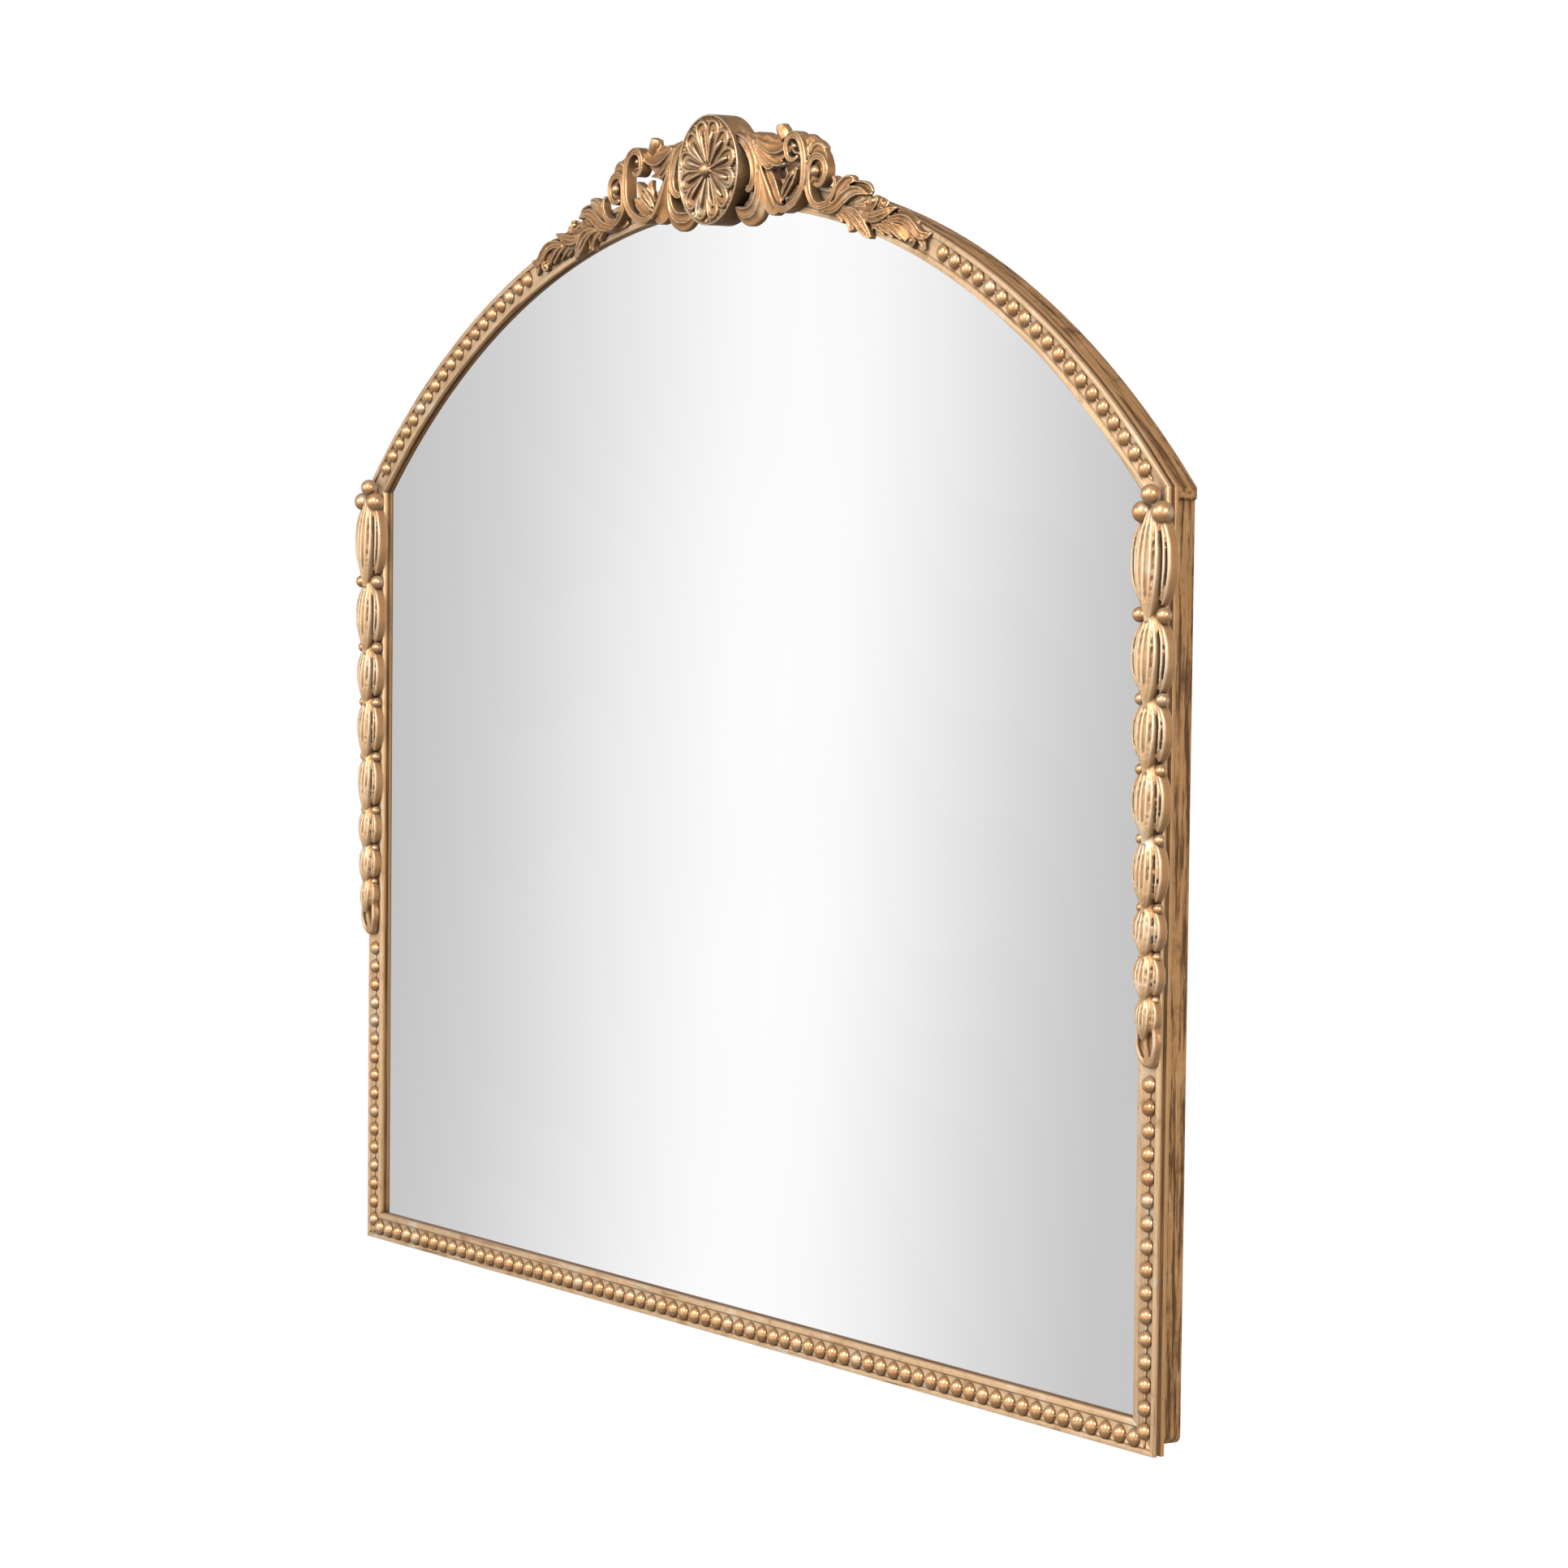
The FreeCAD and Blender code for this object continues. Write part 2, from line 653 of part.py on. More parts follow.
def spread(count, start, middle, end):
    """Values along a strand, through its start, its middle and its end."""
    values = []
    for step in range(count):
        place = step / (count - 1)
        values.append(start * (1 - place) * (1 - 2 * place) + middle * 4 * place * (1 - place)
                      + end * place * (2 * place - 1))
    return values


def strand(path, widths, heights):
    """A keeled rib along (x, z) points. Widths and heights are given at its start, middle
    and end."""
    count = len(path)
    rings = []
    for i, width, height in zip(range(count), spread(count, *widths), spread(count, *heights)):
        (ax, az), (bx, bz) = path[max(i - 1, 0)], path[min(i + 1, count - 1)]
        run = math.hypot(bx - ax, bz - az)
        side_x, side_z = (az - bz) / run, (bx - ax) / run
        half, edge = width / 2, height * RIDGE_EDGE_SHARE
        section = ((-half, 0), (-half, edge), (0, height), (half, edge), (half, 0))
        x, z = path[i]
        rings.append([FreeCAD.Vector(x + side_x * off, -float(front) - rise, z + side_z * off)
                      for off, rise in section])
    return skin(rings)


def ball(x, z, radius, centre_rise):
    """A bead of the carving, cut off flat where it meets the moulding."""
    rings = []
    for share, rise in ((0.75, 0), (1, centre_rise), (0.72, centre_rise + 0.7 * radius)):
        rings.append([FreeCAD.Vector(
            x + radius * share * math.cos(math.tau * side / BALL_SIDES),
            -float(front) - rise,
            z + radius * share * math.sin(math.tau * side / BALL_SIDES))
            for side in range(BALL_SIDES)])
    return skin(rings)


def joined(solids):
    """One shape of solids that run into each other."""
    whole = solids[0].multiFuse(solids[1:]).removeSplitter()
    if whole.ShapeType == "Compound" and len(whole.Solids) == 1:
        whole = whole.Solids[0]
    return whole


# Husk drop: place of the top and tip of each husk down the drop, and its width
HUSK_SHARES = (
    (0.042, 0.228, 1.00),
    (0.228, 0.373, 0.93),
    (0.373, 0.486, 0.84),
    (0.486, 0.608, 0.81),
    (0.608, 0.726, 0.74),
    (0.726, 0.807, 0.68),
    (0.807, 0.881, 0.63),
    (0.881, 0.944, 0.52),
)
# Leaves of a husk: side, path down the husk, widths and ridge heights at start, middle, end
HUSK_CENTRE_SHARES = ((0, 0), (0, 0.5), (0, 1.0))
HUSK_SIDE_SHARES = ((0.06, 0.03), (0.31, 0.45), (0.37, 0.90))
HUSK_CENTRE_WIDTH_SHARES = (0.20, 0.46, 0.04)
HUSK_SIDE_WIDTH_SHARES = (0.16, 0.40, 0.04)
HUSK_CENTRE_RIDGE_SHARES = (0.62, 1.08, 0.60)
HUSK_SIDE_RIDGE_SHARES = (0.55, 0.86, 0.50)
HUSK_TAPER_SHARE = 0.35
SPINE_START_SHARE, SPINE_END_SHARE = 0.02, 0.95
WAIST_BALL_SHARES = ((1.0, 0.22), (0.74, 0.21), (0.64, 0.20), (0.60, 0.20), (0.56, 0.20),
                     (0.44, 0.19), (0.42, 0.19))
TONGUE_START_SHARE, TONGUE_WIDTH_SHARE = 0.93, 0.46


def make_husk_drop():
    x0 = float(half_width - drop_edge)
    top = float(spring_height + drop_top)
    length, full = float(drop_length), float(husk_width)
    solids = []
    for start, tip, width_share in HUSK_SHARES:
        width = full * width_share
        ridge = float(husk_ridge) * (1 - HUSK_TAPER_SHARE * (1 - width_share))
        high, low = top - length * start + float(husk_tuck), top - length * tip
        for side, shares, widths, ridges in (
                (1, HUSK_SIDE_SHARES, HUSK_SIDE_WIDTH_SHARES, HUSK_SIDE_RIDGE_SHARES),
                (-1, HUSK_SIDE_SHARES, HUSK_SIDE_WIDTH_SHARES, HUSK_SIDE_RIDGE_SHARES),
                (1, HUSK_CENTRE_SHARES, HUSK_CENTRE_WIDTH_SHARES, HUSK_CENTRE_RIDGE_SHARES)):
            path = [(x0 + side * width * a, high + (low - high) * b) for a, b in shares]
            solids.append(strand(path, [width * s for s in widths], [ridge * s for s in ridges]))
    for (start, tip, width_share), (size, spread_share) in zip(HUSK_SHARES, WAIST_BALL_SHARES):
        z = top - length * tip
        radius = float(waist_ball_radius) * size
        for side in (1, -1):
            solids.append(ball(x0 + side * full * width_share * spread_share, z, radius,
                               float(husk_edge)))
    solids.append(ball(x0, top - float(top_ball_radius), float(top_ball_radius),
                       float(husk_edge)))
    for side in (1, -1):
        solids.append(ball(x0 + side * float(pair_ball_spread),
                           top - float(top_ball_radius) - float(pair_ball_spread) * 1.1,
                           float(pair_ball_radius), float(husk_edge)))
    spine_ends = [(x0, top - length * share) for share in (SPINE_START_SHARE, SPINE_END_SHARE)]
    solids.append(strand(spine_ends, [float(waist_ball_radius)] * 3,
                         [float(husk_edge)] * 3))
    tongue_top = top - length * TONGUE_START_SHARE
    tongue = [(x0, tongue_top), (x0, (tongue_top + top - length) / 2), (x0, top - length)]
    wide = full * TONGUE_WIDTH_SHARE
    solids.append(strand(tongue, [wide * 0.8, wide, wide * 0.5],
                         [float(husk_edge) * 1.2, float(husk_edge) * 1.2, float(husk_edge)]))
    return shaped("husk_drop_right", joined(solids))


# Crest carving, as shares of its reach along the arch and its height across it. Each strand
# has its path, its widths as shares of the carving's height and its relief as shares.
FAN_STRAND_SHARES = (
    (((0.140, 0.98), (0.175, 0.86), (0.203, 0.60), (0.223, 0.25), (0.233, -0.09),
      (0.212, -0.37), (0.164, -0.50), (0.112, -0.38)), (0.14, 0.24, 0.14), (0.75, 1.0, 0.40)),
    (((0.222, 0.32), (0.208, 0.13), (0.185, 0.07)), (0.14, 0.14, 0.10), (0.95, 0.9, 0.85)),
    (((0.125, 0.92), (0.211, 1.00), (0.264, 0.94), (0.309, 0.98), (0.350, 1.04),
      (0.378, 1.00)), (0.14, 0.18, 0.14), (0.55, 0.70, 0.70)),
    (((0.184, 0.84), (0.242, 0.79), (0.298, 0.83), (0.345, 0.88)), (0.16, 0.22, 0.10),
     (0.80, 0.85, 0.60)),
    (((0.208, 0.65), (0.258, 0.63), (0.316, 0.61), (0.345, 0.60)), (0.16, 0.20, 0.06),
     (0.85, 0.85, 0.50)),
    (((0.217, 0.50), (0.253, 0.47), (0.290, 0.45)), (0.18, 0.20, 0.06), (0.85, 0.80, 0.50)),
    (((0.227, 0.51), (0.249, 0.22), (0.283, -0.06), (0.325, -0.25)), (0.18, 0.22, 0.08),
     (0.85, 0.90, 0.60)),
    (((0.235, 0.21), (0.250, -0.08), (0.286, -0.27)), (0.16, 0.18, 0.08), (0.80, 0.75, 0.50)),
)
FAN_BALL_SHARES = ((0.283, 1.14, 0.12, 0.30),)
VOLUTE_STRAND_SHARES = (
    (((0.385, 0.78), (0.362, 0.86), (0.366, 1.00), (0.390, 1.04), (0.415, 0.84),
      (0.429, 0.50), (0.421, 0.11), (0.393, -0.13), (0.350, -0.23), (0.330, -0.18)),
     (0.12, 0.17, 0.12), (0.70, 1.0, 0.70)),
    (((0.335, 0.02), (0.400, 0.00), (0.485, -0.02)), (0.28, 0.30, 0.24), (0.46, 0.46, 0.46)),
    (((0.341, 0.04), (0.368, 0.19), (0.399, 0.44)), (0.16, 0.22, 0.08), (0.60, 0.80, 0.60)),
    (((0.333, 0.06), (0.341, 0.24), (0.334, 0.42)), (0.14, 0.18, 0.08), (0.60, 0.70, 0.50)),
    (((0.500, 0.40), (0.520, 0.44), (0.527, 0.60), (0.504, 0.77), (0.472, 0.75), (0.452, 0.53),
      (0.452, 0.25), (0.480, 0.02), (0.526, -0.03), (0.560, 0.11), (0.572, 0.33),
      (0.560, 0.46)), (0.11, 0.15, 0.10), (0.85, 0.95, 0.60)),
    (((0.425, 0.98), (0.458, 0.99), (0.488, 0.94), (0.520, 0.92), (0.561, 0.78)),
     (0.16, 0.22, 0.10), (0.60, 0.60, 0.50)),
    (((0.480, 0.80), (0.500, 0.88), (0.520, 0.84)), (0.16, 0.16, 0.16), (0.70, 0.70, 0.70)),
)
VOLUTE_BALL_SHARES = ((0.373, 0.88, 0.08, 0.70), (0.490, 0.50, 0.12, 0.60),
                      (0.490, 0.28, 0.16, 0.30))
GARLAND_STRAND_SHARES = (
    (((0.580, -0.02), (0.670, 0.00), (0.785, 0.00), (0.905, 0.04)), (0.30, 0.34, 0.26),
     (0.50, 0.50, 0.40)),
    (((0.500, -0.16), (0.559, 0.01), (0.606, 0.28), (0.645, 0.58)), (0.14, 0.22, 0.10),
     (0.50, 0.85, 0.60)),
    (((0.508, -0.19), (0.582, -0.11), (0.637, 0.15), (0.682, 0.36), (0.730, 0.40)),
     (0.14, 0.24, 0.08), (0.60, 0.90, 0.55)),
    (((0.616, 0.01), (0.680, 0.04), (0.725, -0.14), (0.775, -0.31)), (0.16, 0.24, 0.08),
     (0.70, 0.85, 0.50)),
    (((0.593, -0.10), (0.623, -0.20), (0.648, -0.27)), (0.14, 0.18, 0.10), (0.55, 0.60, 0.45)),
    (((0.621, -0.14), (0.657, -0.28), (0.687, -0.37)), (0.14, 0.18, 0.10), (0.55, 0.60, 0.45)),
    (((0.711, 0.01), (0.759, 0.05), (0.800, 0.17), (0.839, 0.33)), (0.14, 0.20, 0.08),
     (0.65, 0.75, 0.45)),
    (((0.738, -0.09), (0.812, -0.08), (0.880, -0.11)), (0.16, 0.18, 0.10), (0.55, 0.60, 0.40)),
    (((0.749, 0.10), (0.824, 0.14), (0.903, 0.10)), (0.16, 0.20, 0.12), (0.55, 0.60, 0.45)),
    (((0.866, 0.17), (0.915, 0.20), (0.960, 0.15), (1.000, 0.26)), (0.16, 0.20, 0.06),
     (0.45, 0.50, 0.25)),
    (((0.905, 0.14), (0.945, 0.04), (0.980, -0.10)), (0.14, 0.16, 0.06), (0.45, 0.40, 0.25)),
)
GARLAND_BALL_SHARES = ((0.741, 0.22, 0.13, 0.35), (0.930, -0.06, 0.12, 0.20))


def on_arch(along_share, across_share):
    """A point of the carving: along the arch from its top, and out from the moulding's
    middle line."""
    angle = along_share * reach_angle
    radius = float(middle_radius) + across_share * float(crest_height)
    return radius * math.sin(angle), float(arch_centre) + radius * math.cos(angle)


def carved(label, strand_shares, ball_shares, pin_places, neighbour):
    """A crest piece: its strands and balls in one, cut to butt against its neighbour and bored
    for its pins."""
    solids = []
    for path, widths, relief in strand_shares:
        solids.append(strand([on_arch(*spot) for spot in path],
                             [share * float(crest_height) for share in widths],
                             [share * float(crest_relief) for share in relief]))
    for along, across, radius, rise in ball_shares:
        x, z = on_arch(along, across)
        solids.append(ball(x, z, radius * float(crest_height), rise * float(crest_relief)))
    whole = joined(solids)
    doc.recompute()
    whole = whole.cut(neighbour.Shape)
    bore = screw_hole / math.cos(math.pi / BORE_SIDES)
    for x, z in pin_places:
        whole = whole.cut(rod(bore, subframe_depth, front + crest_bite + hole_spare, x, z))
    return shaped(label, joined([whole]))


def make_boss():
    body = new_body("crest_boss")
    disc = sketch_on(body, "XZ_Plane", "boss_outline", subframe_depth)
    circle_at(disc, zero, boss_centre, boss_radius)
    pad(body, disc, "boss_thickness", boss_front - subframe_depth)
    seat = sketch_on(body, "XZ_Plane", "rosette_seat", boss_front - boss_recess)
    circle_at(seat, zero, boss_centre, boss_radius - boss_rim)
    cut = pocket(body, seat, "cut_rosette_seat", boss_recess)
    cut.Reversed = True
    depth = moulding_depth + crest_bite + hole_spare
    holes(body, "pin_holes", subframe_depth + depth, both_sides(boss_pins), screw_hole, depth)
    return body


# Rings of the rosette from its edge to its centre: radius and height over a rib, then over
# the groove beside it, as shares of its radius and its relief
ROSETTE_RING_SHARES = (
    ((1.00, 0.00), (0.90, 0.00)),
    ((1.00, 0.30), (0.90, 0.22)),
    ((0.93, 0.62), (0.84, 0.30)),
    ((0.74, 1.00), (0.74, 0.34)),
    ((0.24, 0.62), (0.24, 0.62)),
)
BUTTON_SIDES = 8
BUTTON_RING_SHARES = ((0.80, 0.0), (1.0, 0.30), (0.86, 0.66), (0.45, 1.0))


def wheel(ring_shares, spokes, radius, relief, base):
    """Rings of points about the boss's centre, standing on the base."""
    rings = []
    for ring in ring_shares:
        points = []
        for step in range(spokes):
            reach, rise = ring[step % len(ring)]
            turn = math.tau * (step + 0.5 * len(ring)) / spokes
            points.append(FreeCAD.Vector(
                radius * reach * math.sin(turn), -base - relief * rise,
                float(boss_centre) + radius * reach * math.cos(turn)))
        rings.append(points)
    return rings


def make_rosette():
    radius = float(boss_radius - boss_rim - rosette_gap)
    base = float(boss_front - boss_recess)
    rings = wheel(ROSETTE_RING_SHARES, PETALS * 2, radius, float(rosette_relief), base)
    shaped("crest_rosette", skin(rings))
    middle = base + float(rosette_relief) * ROSETTE_RING_SHARES[-1][0][1]
    dome = [(share,) for share in BUTTON_RING_SHARES]
    rise = float(button_relief) - (middle - base)
    shaped("crest_button", skin(wheel(dome, BUTTON_SIDES, float(button_radius), rise, middle)))


# Screws, pins and hangers

def rod(radius, from_depth, to_depth, x, z):
    """A faceted bar square to the wall, between two depths in front of it."""
    corners = polygon_about(float(x), float(z), float(radius), float(radius), BORE_SIDES)
    ring = [FreeCAD.Vector(px, -float(from_depth), pz) for px, pz in corners]
    face = Part.Face(Part.makePolygon([*ring, ring[0]]))
    return face.extrude(FreeCAD.Vector(0, float(from_depth) - float(to_depth), 0))


def screw(radius, head_radius, head_height, seat_depth, length, x, z):
    """A pan-head screw driven forwards, its head on the seat."""
    head = rod(head_radius, seat_depth - head_height, seat_depth, x, z)
    return joined([head.fuse(rod(radius, seat_depth, seat_depth + length, x, z))])


def make_fixings():
    places = both_sides(stile_screws + rail_screws + arch_screws)
    length = panel_thickness + glass_thickness + screw_bite
    shaped("panel_screws", Part.makeCompound([
        screw(screw_radius, screw_head_radius, screw_head_height, panel_back, length, x, z)
        for x, z in places]))
    tip = front + crest_bite
    shaped("crest_pins", Part.makeCompound([
        rod(screw_radius, panel_front, tip, x, z)
        for x, z in both_sides(boss_pins + leaf_pins)]))
    shaped("hanger_screws", Part.makeCompound([
        screw(strap_screw_radius, strap_screw_head, screw_head_height,
              panel_back - strap_thickness, strap_screw_length, x, z)
        for x, z in both_sides(strap_screws)]))


RING_SIDE_SHARE = 0.31
RING_BOW_STEPS = 8
WIRE_SIDES = 6
ROLL_SIDES = 12


def cross_bar(start, radius, length):
    """A faceted bar along X, with a flat towards the panel."""
    ring = []
    for step in range(ROLL_SIDES):
        turn = math.tau * (step + 0.5) / ROLL_SIDES
        ring.append(start + FreeCAD.Vector(0, radius * math.cos(turn), radius * math.sin(turn)))
    return Part.Face(Part.makePolygon([*ring, ring[0]])).extrude(FreeCAD.Vector(length, 0, 0))


def make_hanger():
    """The right-hand strap, with its eye rolled round the ring's straight side, and its ring."""
    x, z, y = float(hanger_spread), float(hanger_height), -float(hinge_depth)
    half = float(strap_width) / 2
    across = FreeCAD.Vector(1, 0, 0)
    plate = Part.makeBox(half * 2, float(strap_thickness), float(strap_length),
                         FreeCAD.Vector(x - half, -float(panel_back), z - float(strap_length)))
    eye = float(wire_radius + hinge_clearance)
    start = FreeCAD.Vector(x - half, y, z)
    roll = cross_bar(start, (eye + float(strap_thickness)), half * 2)
    bore = cross_bar(start, eye / math.cos(math.pi / ROLL_SIDES), half * 2)
    strap = plate.fuse(roll).cut(bore)
    for sx, sz in strap_screws:
        strap = strap.cut(rod(strap_screw_radius + screw_clearance, panel_back - overrun,
                              panel_back + overrun, sx, sz))
    shaped("hanger_strap_right", joined([strap]))

    side, top, wire = float(ring_width) / 2, float(ring_height), float(wire_radius)
    straight = top * RING_SIDE_SHARE
    path = [(-side, -wire), (-side, straight)]
    for step in range(1, RING_BOW_STEPS):
        turn = math.pi * (1 - step / RING_BOW_STEPS)
        path.append((side * math.cos(turn), straight + (top - straight) * math.sin(turn)))
    path += [(side, straight), (side, -wire)]
    rings = []
    for i, (px, pz) in enumerate(path):
        (ax, az), (bx, bz) = path[max(i - 1, 0)], path[min(i + 1, len(path) - 1)]
        run = math.hypot(bx - ax, bz - az)
        rings.append([])
        for step in range(WIRE_SIDES):
            turn = math.tau * step / WIRE_SIDES
            off = wire * math.cos(turn)
            rings[-1].append(FreeCAD.Vector(x + px + off * (az - bz) / run,
                                            y + wire * math.sin(turn),
                                            z + pz + off * (bx - ax) / run))
    bar = cross_bar(FreeCAD.Vector(x - side, y, z), wire, side * 2)
    ring = joined([skin(rings).fuse(bar)])
    lean = math.asin((float(panel_back) - float(hinge_depth) - wire - float(ring_rest_gap)) / top)
    ring.rotate(FreeCAD.Vector(x, y, z), across, math.degrees(lean))
    shaped("hanger_ring_right", ring)
    return nodes[-2], nodes[-1]


mirrored(make_stile_moulding(), "left_stile_moulding")
make_rail_moulding()
mirrored(make_arch_moulding(), "arch_moulding_left")
mirrored(make_subframe_stile(), "subframe_stile_left")
make_subframe_rail()
mirrored(make_subframe_arch(), "subframe_arch_left")
make_pane("mirror_glass", ledge_half - glass_gap, ledge_bottom + glass_gap,
          ledge_radius - glass_gap, panel_front, glass_thickness)
make_panel()
mirrored(make_stile_beads(), "bead_row_left")
make_rail_beads()
mirrored(make_arch_beads(), "bead_row_arch_left")
mirrored(make_husk_drop(), "husk_drop_left")
neighbour = make_boss()
make_rosette()
for piece, strands, balls, pins in (
        ("fan", FAN_STRAND_SHARES, FAN_BALL_SHARES, leaf_pins[:1]),
        ("volute", VOLUTE_STRAND_SHARES, VOLUTE_BALL_SHARES, leaf_pins[1:2]),
        ("garland", GARLAND_STRAND_SHARES, GARLAND_BALL_SHARES, leaf_pins[2:])):
    neighbour = carved(f"crest_{piece}_right", strands, balls, pins, neighbour)
    mirrored(neighbour, f"crest_{piece}_left")
make_fixings()
strap_right, ring_right = make_hanger()
mirrored(strap_right, "hanger_strap_left")
mirrored(ring_right, "hanger_ring_left")

doc.recompute()
for item in doc.Objects:
    if "Invalid" in item.State or "Error" in item.State:
        raise RuntimeError(f"{item.Label} failed: {item.State}")
for node in nodes:
    shape = node.Shape
    if shape.isNull() or not shape.isValid():
        raise RuntimeError(f"{node.Label} has no valid shape")
    shape.exportStep(f"parts/{node.Label}.step")
    print(node.Label, len(shape.Solids), "solid(s),", round(shape.Volume), "mm3")
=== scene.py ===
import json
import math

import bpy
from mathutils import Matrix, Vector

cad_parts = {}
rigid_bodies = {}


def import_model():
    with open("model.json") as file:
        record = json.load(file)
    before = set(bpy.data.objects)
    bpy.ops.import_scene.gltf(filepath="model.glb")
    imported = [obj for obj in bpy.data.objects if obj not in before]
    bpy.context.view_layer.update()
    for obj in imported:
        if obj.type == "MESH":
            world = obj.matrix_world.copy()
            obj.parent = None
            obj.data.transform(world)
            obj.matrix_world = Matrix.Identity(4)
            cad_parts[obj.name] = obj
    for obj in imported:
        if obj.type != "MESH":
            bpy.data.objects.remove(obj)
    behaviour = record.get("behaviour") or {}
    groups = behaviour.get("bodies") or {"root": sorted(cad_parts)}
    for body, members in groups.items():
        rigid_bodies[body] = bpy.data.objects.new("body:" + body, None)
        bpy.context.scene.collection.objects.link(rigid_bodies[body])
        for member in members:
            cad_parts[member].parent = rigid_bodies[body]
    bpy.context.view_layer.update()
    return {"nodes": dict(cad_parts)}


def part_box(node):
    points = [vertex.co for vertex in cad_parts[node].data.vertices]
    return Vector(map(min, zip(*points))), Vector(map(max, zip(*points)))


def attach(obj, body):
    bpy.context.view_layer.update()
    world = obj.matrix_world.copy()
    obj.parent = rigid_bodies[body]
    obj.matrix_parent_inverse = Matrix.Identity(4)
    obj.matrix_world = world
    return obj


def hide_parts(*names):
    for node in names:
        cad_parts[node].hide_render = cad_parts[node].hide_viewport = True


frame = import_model()

# %% [markdown]
# # A gilded wall mirror with an arched head
#
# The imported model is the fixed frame: every piece below is laid over it, in the same place
# and in metres. X runs across the mirror, the face looks along -Y and Z is up. The real
# mirror is mitred wood with moulded composition ornament glued on, all of it gilded, rubbed
# and toned. Flat members are kept from the model with softened edges. Carved ornament is
# drawn as strands along curves and melted together, as the real composition is pressed in
# one mould.

MM = 0.001
nodes = frame["nodes"]
FRONT = -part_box("right_stile_moulding")[0].y / MM
print("face of the moulding,", round(FRONT, 2), "mm in front of the wall")

# %% [markdown]
# ## Camera
#
# The photograph was taken from the mirror's right with a long lens, a little above its
# middle. Position, direction and lens were found by fitting the frame's straight edges and
# its arch to the picture. The roll is half a degree, so the camera's axes are written out.

# %% Camera
CAMERA_PLACE = Vector((2923.58, -1909.27, 608.88)) * MM
YAW, PITCH, ROLL = (math.radians(angle) for angle in (56.3744, 3.4618, 0.6071))
SENSOR_MM, LENS_MM = 36, 108.15
CLIP_M = 60
ahead = Vector((-math.sin(YAW) * math.cos(PITCH), math.cos(YAW) * math.cos(PITCH),
                -math.sin(PITCH)))
level = Vector((math.cos(YAW), math.sin(YAW), 0))
above = level.cross(ahead)
across = level * math.cos(ROLL) + above * math.sin(ROLL)
above = above * math.cos(ROLL) - level * math.sin(ROLL)

bpy.ops.object.camera_add(location=CAMERA_PLACE)
camera = bpy.context.object
camera.name = "studio_camera"
camera.matrix_world = Matrix((
    (across.x, above.x, -ahead.x, CAMERA_PLACE.x),
    (across.y, above.y, -ahead.y, CAMERA_PLACE.y),
    (across.z, above.z, -ahead.z, CAMERA_PLACE.z),
    (0, 0, 0, 1)))
camera.data.sensor_width = SENSOR_MM
camera.data.lens = LENS_MM
camera.data.clip_end = CLIP_M
bpy.context.scene.camera = camera
bpy.context.scene.view_settings.view_transform = "Standard"
print("camera", round(CAMERA_PLACE.length, 2), "m from the middle of the mirror's foot")


# %% [markdown]
# ## Small tools
#
# Blender's operators act on whatever is selected, so one helper clears the selection and
# picks what is wanted, and others join parts or copy one. The tool for materials adds a
# shader node with its settings, its links and, for a colour ramp, its stops, and gives back
# the output asked for. A Mix node set to colours takes its share at input 0 and the two
# colours at 6 and 7, and gives the result at output 2. Colours are hex codes, as on a paint
# chart, turned into the linear numbers that shaders want.

# %% Small tools for objects
def pick(*objects):
    """Selects these alone, the first one active."""
    bpy.ops.object.select_all(action="DESELECT")
    for item in objects:
        item.select_set(True)
    bpy.context.view_layer.objects.active = objects[0]


def joined(parts):
    """The parts as one object."""
    pick(*parts)
    bpy.ops.object.join()
    return bpy.context.object


def copied(item, move):
    """A copy with its own mesh, which the matrix moves."""
    copy = item.copy()
    copy.data = item.data.copy()
    bpy.context.scene.collection.objects.link(copy)
    copy.data.transform(move)
    return copy


def unmarked(copy):
    """A copy without the marks and the parent of what it was copied from."""
    copy.parent = None
    for key in list(copy.keys()):
        del copy[key]
    return copy


# %% Small tools for materials
def linear(code):
    """The linear colour of a hex code."""
    channels = [int(code[i:i + 2], 16) / 255 for i in (1, 3, 5)]
    return [c / 12.92 if c <= 0.04045 else ((c + 0.055) / 1.055) ** 2.4
            for c in channels] + [1]


def waves(size_mm):
    """How many waves of a pattern lie on a metre, from the size of one of its marks."""
    return round(1 / (size_mm * MM))


def add(tree, kind, inputs=None, out=0, stops=(), **settings):
    """One output of a new node, whose inputs are given values or links."""
    made = tree.nodes.new("ShaderNode" + kind)
    for name, value in settings.items():
        setattr(made, name, value)
    for name, value in (inputs or {}).items():
        if isinstance(value, bpy.types.NodeSocket):
            tree.links.new(value, made.inputs[name])
        else:
            made.inputs[name].default_value = value
    if stops:
        band = made.color_ramp.elements
        while len(band) < len(stops):
            band.new(0.5)
        for element, (place, colour) in zip(band, stops):
            element.position = place
            element.color = colour if isinstance(colour, list) else [colour] * 3 + [1]
    return made.outputs[out]


def new_finish(name):
    """A material with its nodes, its shader and the piece's own coordinates."""
    finish = bpy.data.materials.new(name)
    finish.use_nodes = True
    tree = finish.node_tree
    shader = tree.nodes["Principled BSDF"]
    where = add(tree, "TexCoord", out="Object")
    return finish, tree, shader, where
